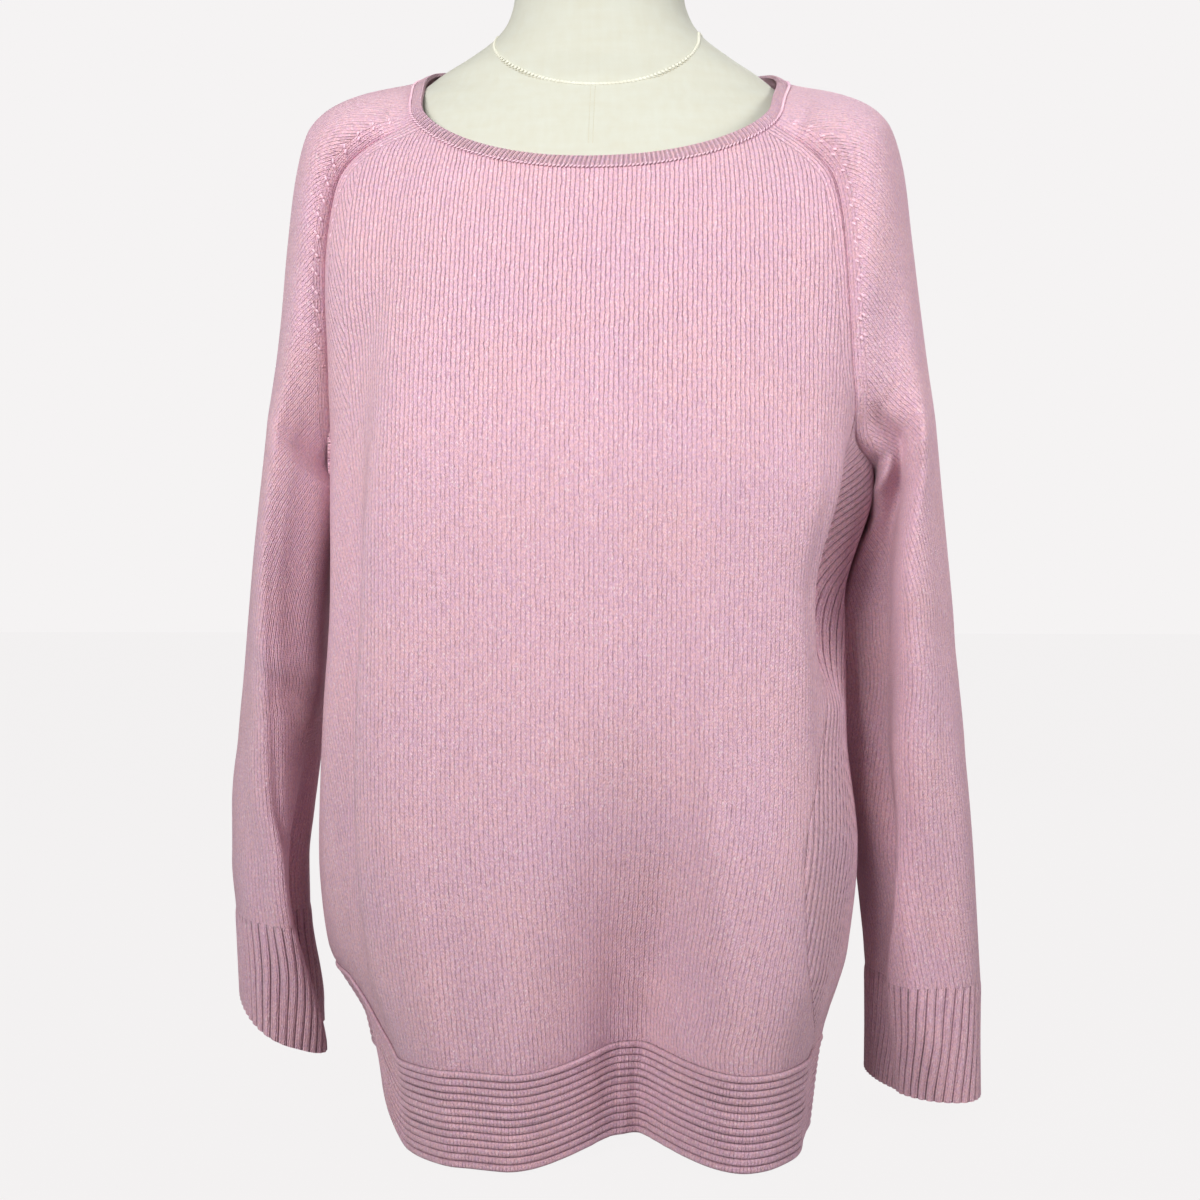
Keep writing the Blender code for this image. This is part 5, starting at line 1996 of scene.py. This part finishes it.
def sew_sweater(front: Shell, back: Shell, arms: dict[str, Shell], band: Shell, yarn: Any,
                seam_yarn_painted_shade: Any) -> None:
    """Sets the linked seams, the fashioning marks and the neckband's chain.

    Args:
        front: Front panel.
        back: Back panel.
        arms: Sleeves.
        band: Neckband.
        yarn: Finish of the raised stitches, a little lighter than the knit as their painted highlight.
        seam_yarn_painted_shade: Finish of the stitches down in a seam, coloured dark as painted shade in the
            seam.
    """
    cap_rows = SweaterBody().cap_rows
    top, upper = slice(0, cap_rows + 1), slice(5, cap_rows - 6)
    for side, arm in arms.items():
        seams = [arm.line(column, top, SEAM_SUNK) for column in (0, -1)]
        trim(LINKING.sew(f"raglan_linking_{side}", seams, seam_yarn_painted_shade), "sleeve_" + side)
        lines = [beside(arm, column, aside, upper, MARK_LIFT)
                 for column in (0, -1) for aside in SLEEVE_MARKS_ASIDE]
        trim(SLEEVE_MARK.sew(f"sleeve_fashioning_{side}", lines, yarn), "sleeve_" + side)
    count = front.index.shape[0]
    lower = slice(count - 34, count - 6)
    for piece, name in ((front, "front_panel"), (back, "back_panel")):
        lines = [beside(piece, column, PANEL_MARKS_ASIDE, lower, MARK_LIFT) for column in (0, -1)]
        trim(PANEL_MARK.sew(name + "_fashioning", lines, yarn), name)
    foot = np.concatenate([band.index[0], band.index[0][:1]])
    points, out = band.points[foot], band.normals[foot]
    trim(CHAIN.sew("neckband_chain", [(points + out * CHAIN_LIFT, out)], yarn), "neckband")


def dress_form(form: DressForm) -> None:
    """Builds the form with its cover's seams, its cap and its base."""
    linen = Linen().material()
    dress(form.torso(linen), "form_torso")
    lines = form.seam_lines()
    # Painted highlight: the neck seam's piping is the cover's own cord, coloured lighter than the linen for
    # the light that its raised top catches.
    thread = Plain("seam_piping_painted_highlight", linear(232, 232, 218), linear(222, 220, 202), 0.8).material()
    # The dark thread is the centre seams' own thread, and also paints the shadow under the neck piping.
    shade = Plain("seam_thread_and_painted_shadow", linear(206, 200, 180), linear(196, 190, 166), 0.8).material()
    seams = (
        (StitchRow("neck_base_seam", 0.0024, (0.0036, 0.0022, 0.0014), wander=0.0),
         "form_neck_seam", "neck", thread),
        # Painted shadow: a row of dark stitches just below the neck seam stands for the shadow under its
        # piping.
        (StitchRow("neck_base_painted_shadow", 0.0024, (0.0034, 0.0008, 0.0006), wander=0.0),
         "form_neck_painted_shadow", "fold", shade),
        (StitchRow("front_seam", 0.0020, (0.0018, 0.0004, 0.0003), wander=2.0),
         "form_front_seams", "front", shade),
    )
    for row, name, line, finish in seams:
        trim(row.sew(name, lines[line], finish), "form_torso")
    cap = Plain("cap_paint", linear(236, 232, 216), linear(228, 222, 202), 0.6)
    dress(form.neck_cap(cap.material()), "form_neck_cap")
    wood = Plain("base_wood", linear(160, 120, 82), linear(118, 82, 52), 0.5, (0.15, 1.0, 1.0))
    dress(form.base(wood.material()), "form_base")


def main() -> None:
    """Builds the sweater, its form and the studio."""
    logging.basicConfig(level=logging.INFO, format="%(message)s")
    body = SweaterBody()
    sleeves = Sleeves(body)
    jersey = Knit("jersey").material()
    sleeve_jersey = Knit("sleeve_jersey", crisp_from=0.80).material()
    ribbed = Knit("side_rib", way=Way.ALONG, rib=body.rib_pitch).material()
    cuff_rib = Knit("cuff_rib", way=Way.ALONG, rib=sleeves.rib_pitch).material()
    ridged = Knit("hem_ridges", way=Way.ACROSS, rib=body.ridge_pitch(), wale=0.0020,
                  gap_shade=0.12).material()
    neck_rib = Knit("neck_rib", way=Way.ALONG, rib=0.0028, wale=0.0014, course=0.0014,
                    stitch_shade=0.06, gap_shade=0.0, groove_shade=0.18, grain_shade=0.5).material()
    front, back = body.panel("front"), body.panel("back")
    sides = {side: body.side_panel(side) for side in SIGN}
    arms = {side: sleeves.sleeve(side) for side in SIGN}
    soften_neckline(front, arms["right"], back, arms["left"])
    band = Neckband().build(front, arms["right"], back, arms["left"])
    shells = {
        "front_panel": (front, jersey),
        "back_panel": (back, jersey),
        "hem_band": (body.hem_band(), ridged),
        "neckband": (band, neck_rib),
    }
    for side in SIGN:
        shells["side_panel_" + side] = (sides[side], ribbed)
        shells["sleeve_" + side] = (arms[side], sleeve_jersey)
        shells["cuff_" + side] = (sleeves.cuff(side), cuff_rib)
    share_seams([shell for shell, _ in shells.values()])
    for node, (shell, material) in shells.items():
        shell.draw_back(SEAM_GAP)
        dress(shell.build(material), node)
    # Painted highlight: the raised marks and the chain are the sweater's own yarn, coloured a little lighter
    # than the knit's crown for the light that the loops catch.
    yarn = Plain("raised_yarn_painted_highlight", linear(242, 206, 216), linear(232, 196, 214), 0.9).material()
    # Painted shade: the linking stitches sunk in the raglan seams are coloured a dark rose for the shade down
    # in the seam.
    seam_yarn_painted_shade = Plain("seam_yarn_painted_shade", linear(176, 116, 138), linear(168, 112, 138), 0.9).material()
    sew_sweater(front, back, arms, band, yarn, seam_yarn_painted_shade)
    declare_cloth({node: shell for node, (shell, _) in shells.items()})
    dress_form(DressForm())
    Studio().build()


if __name__ == "__main__":
    main()
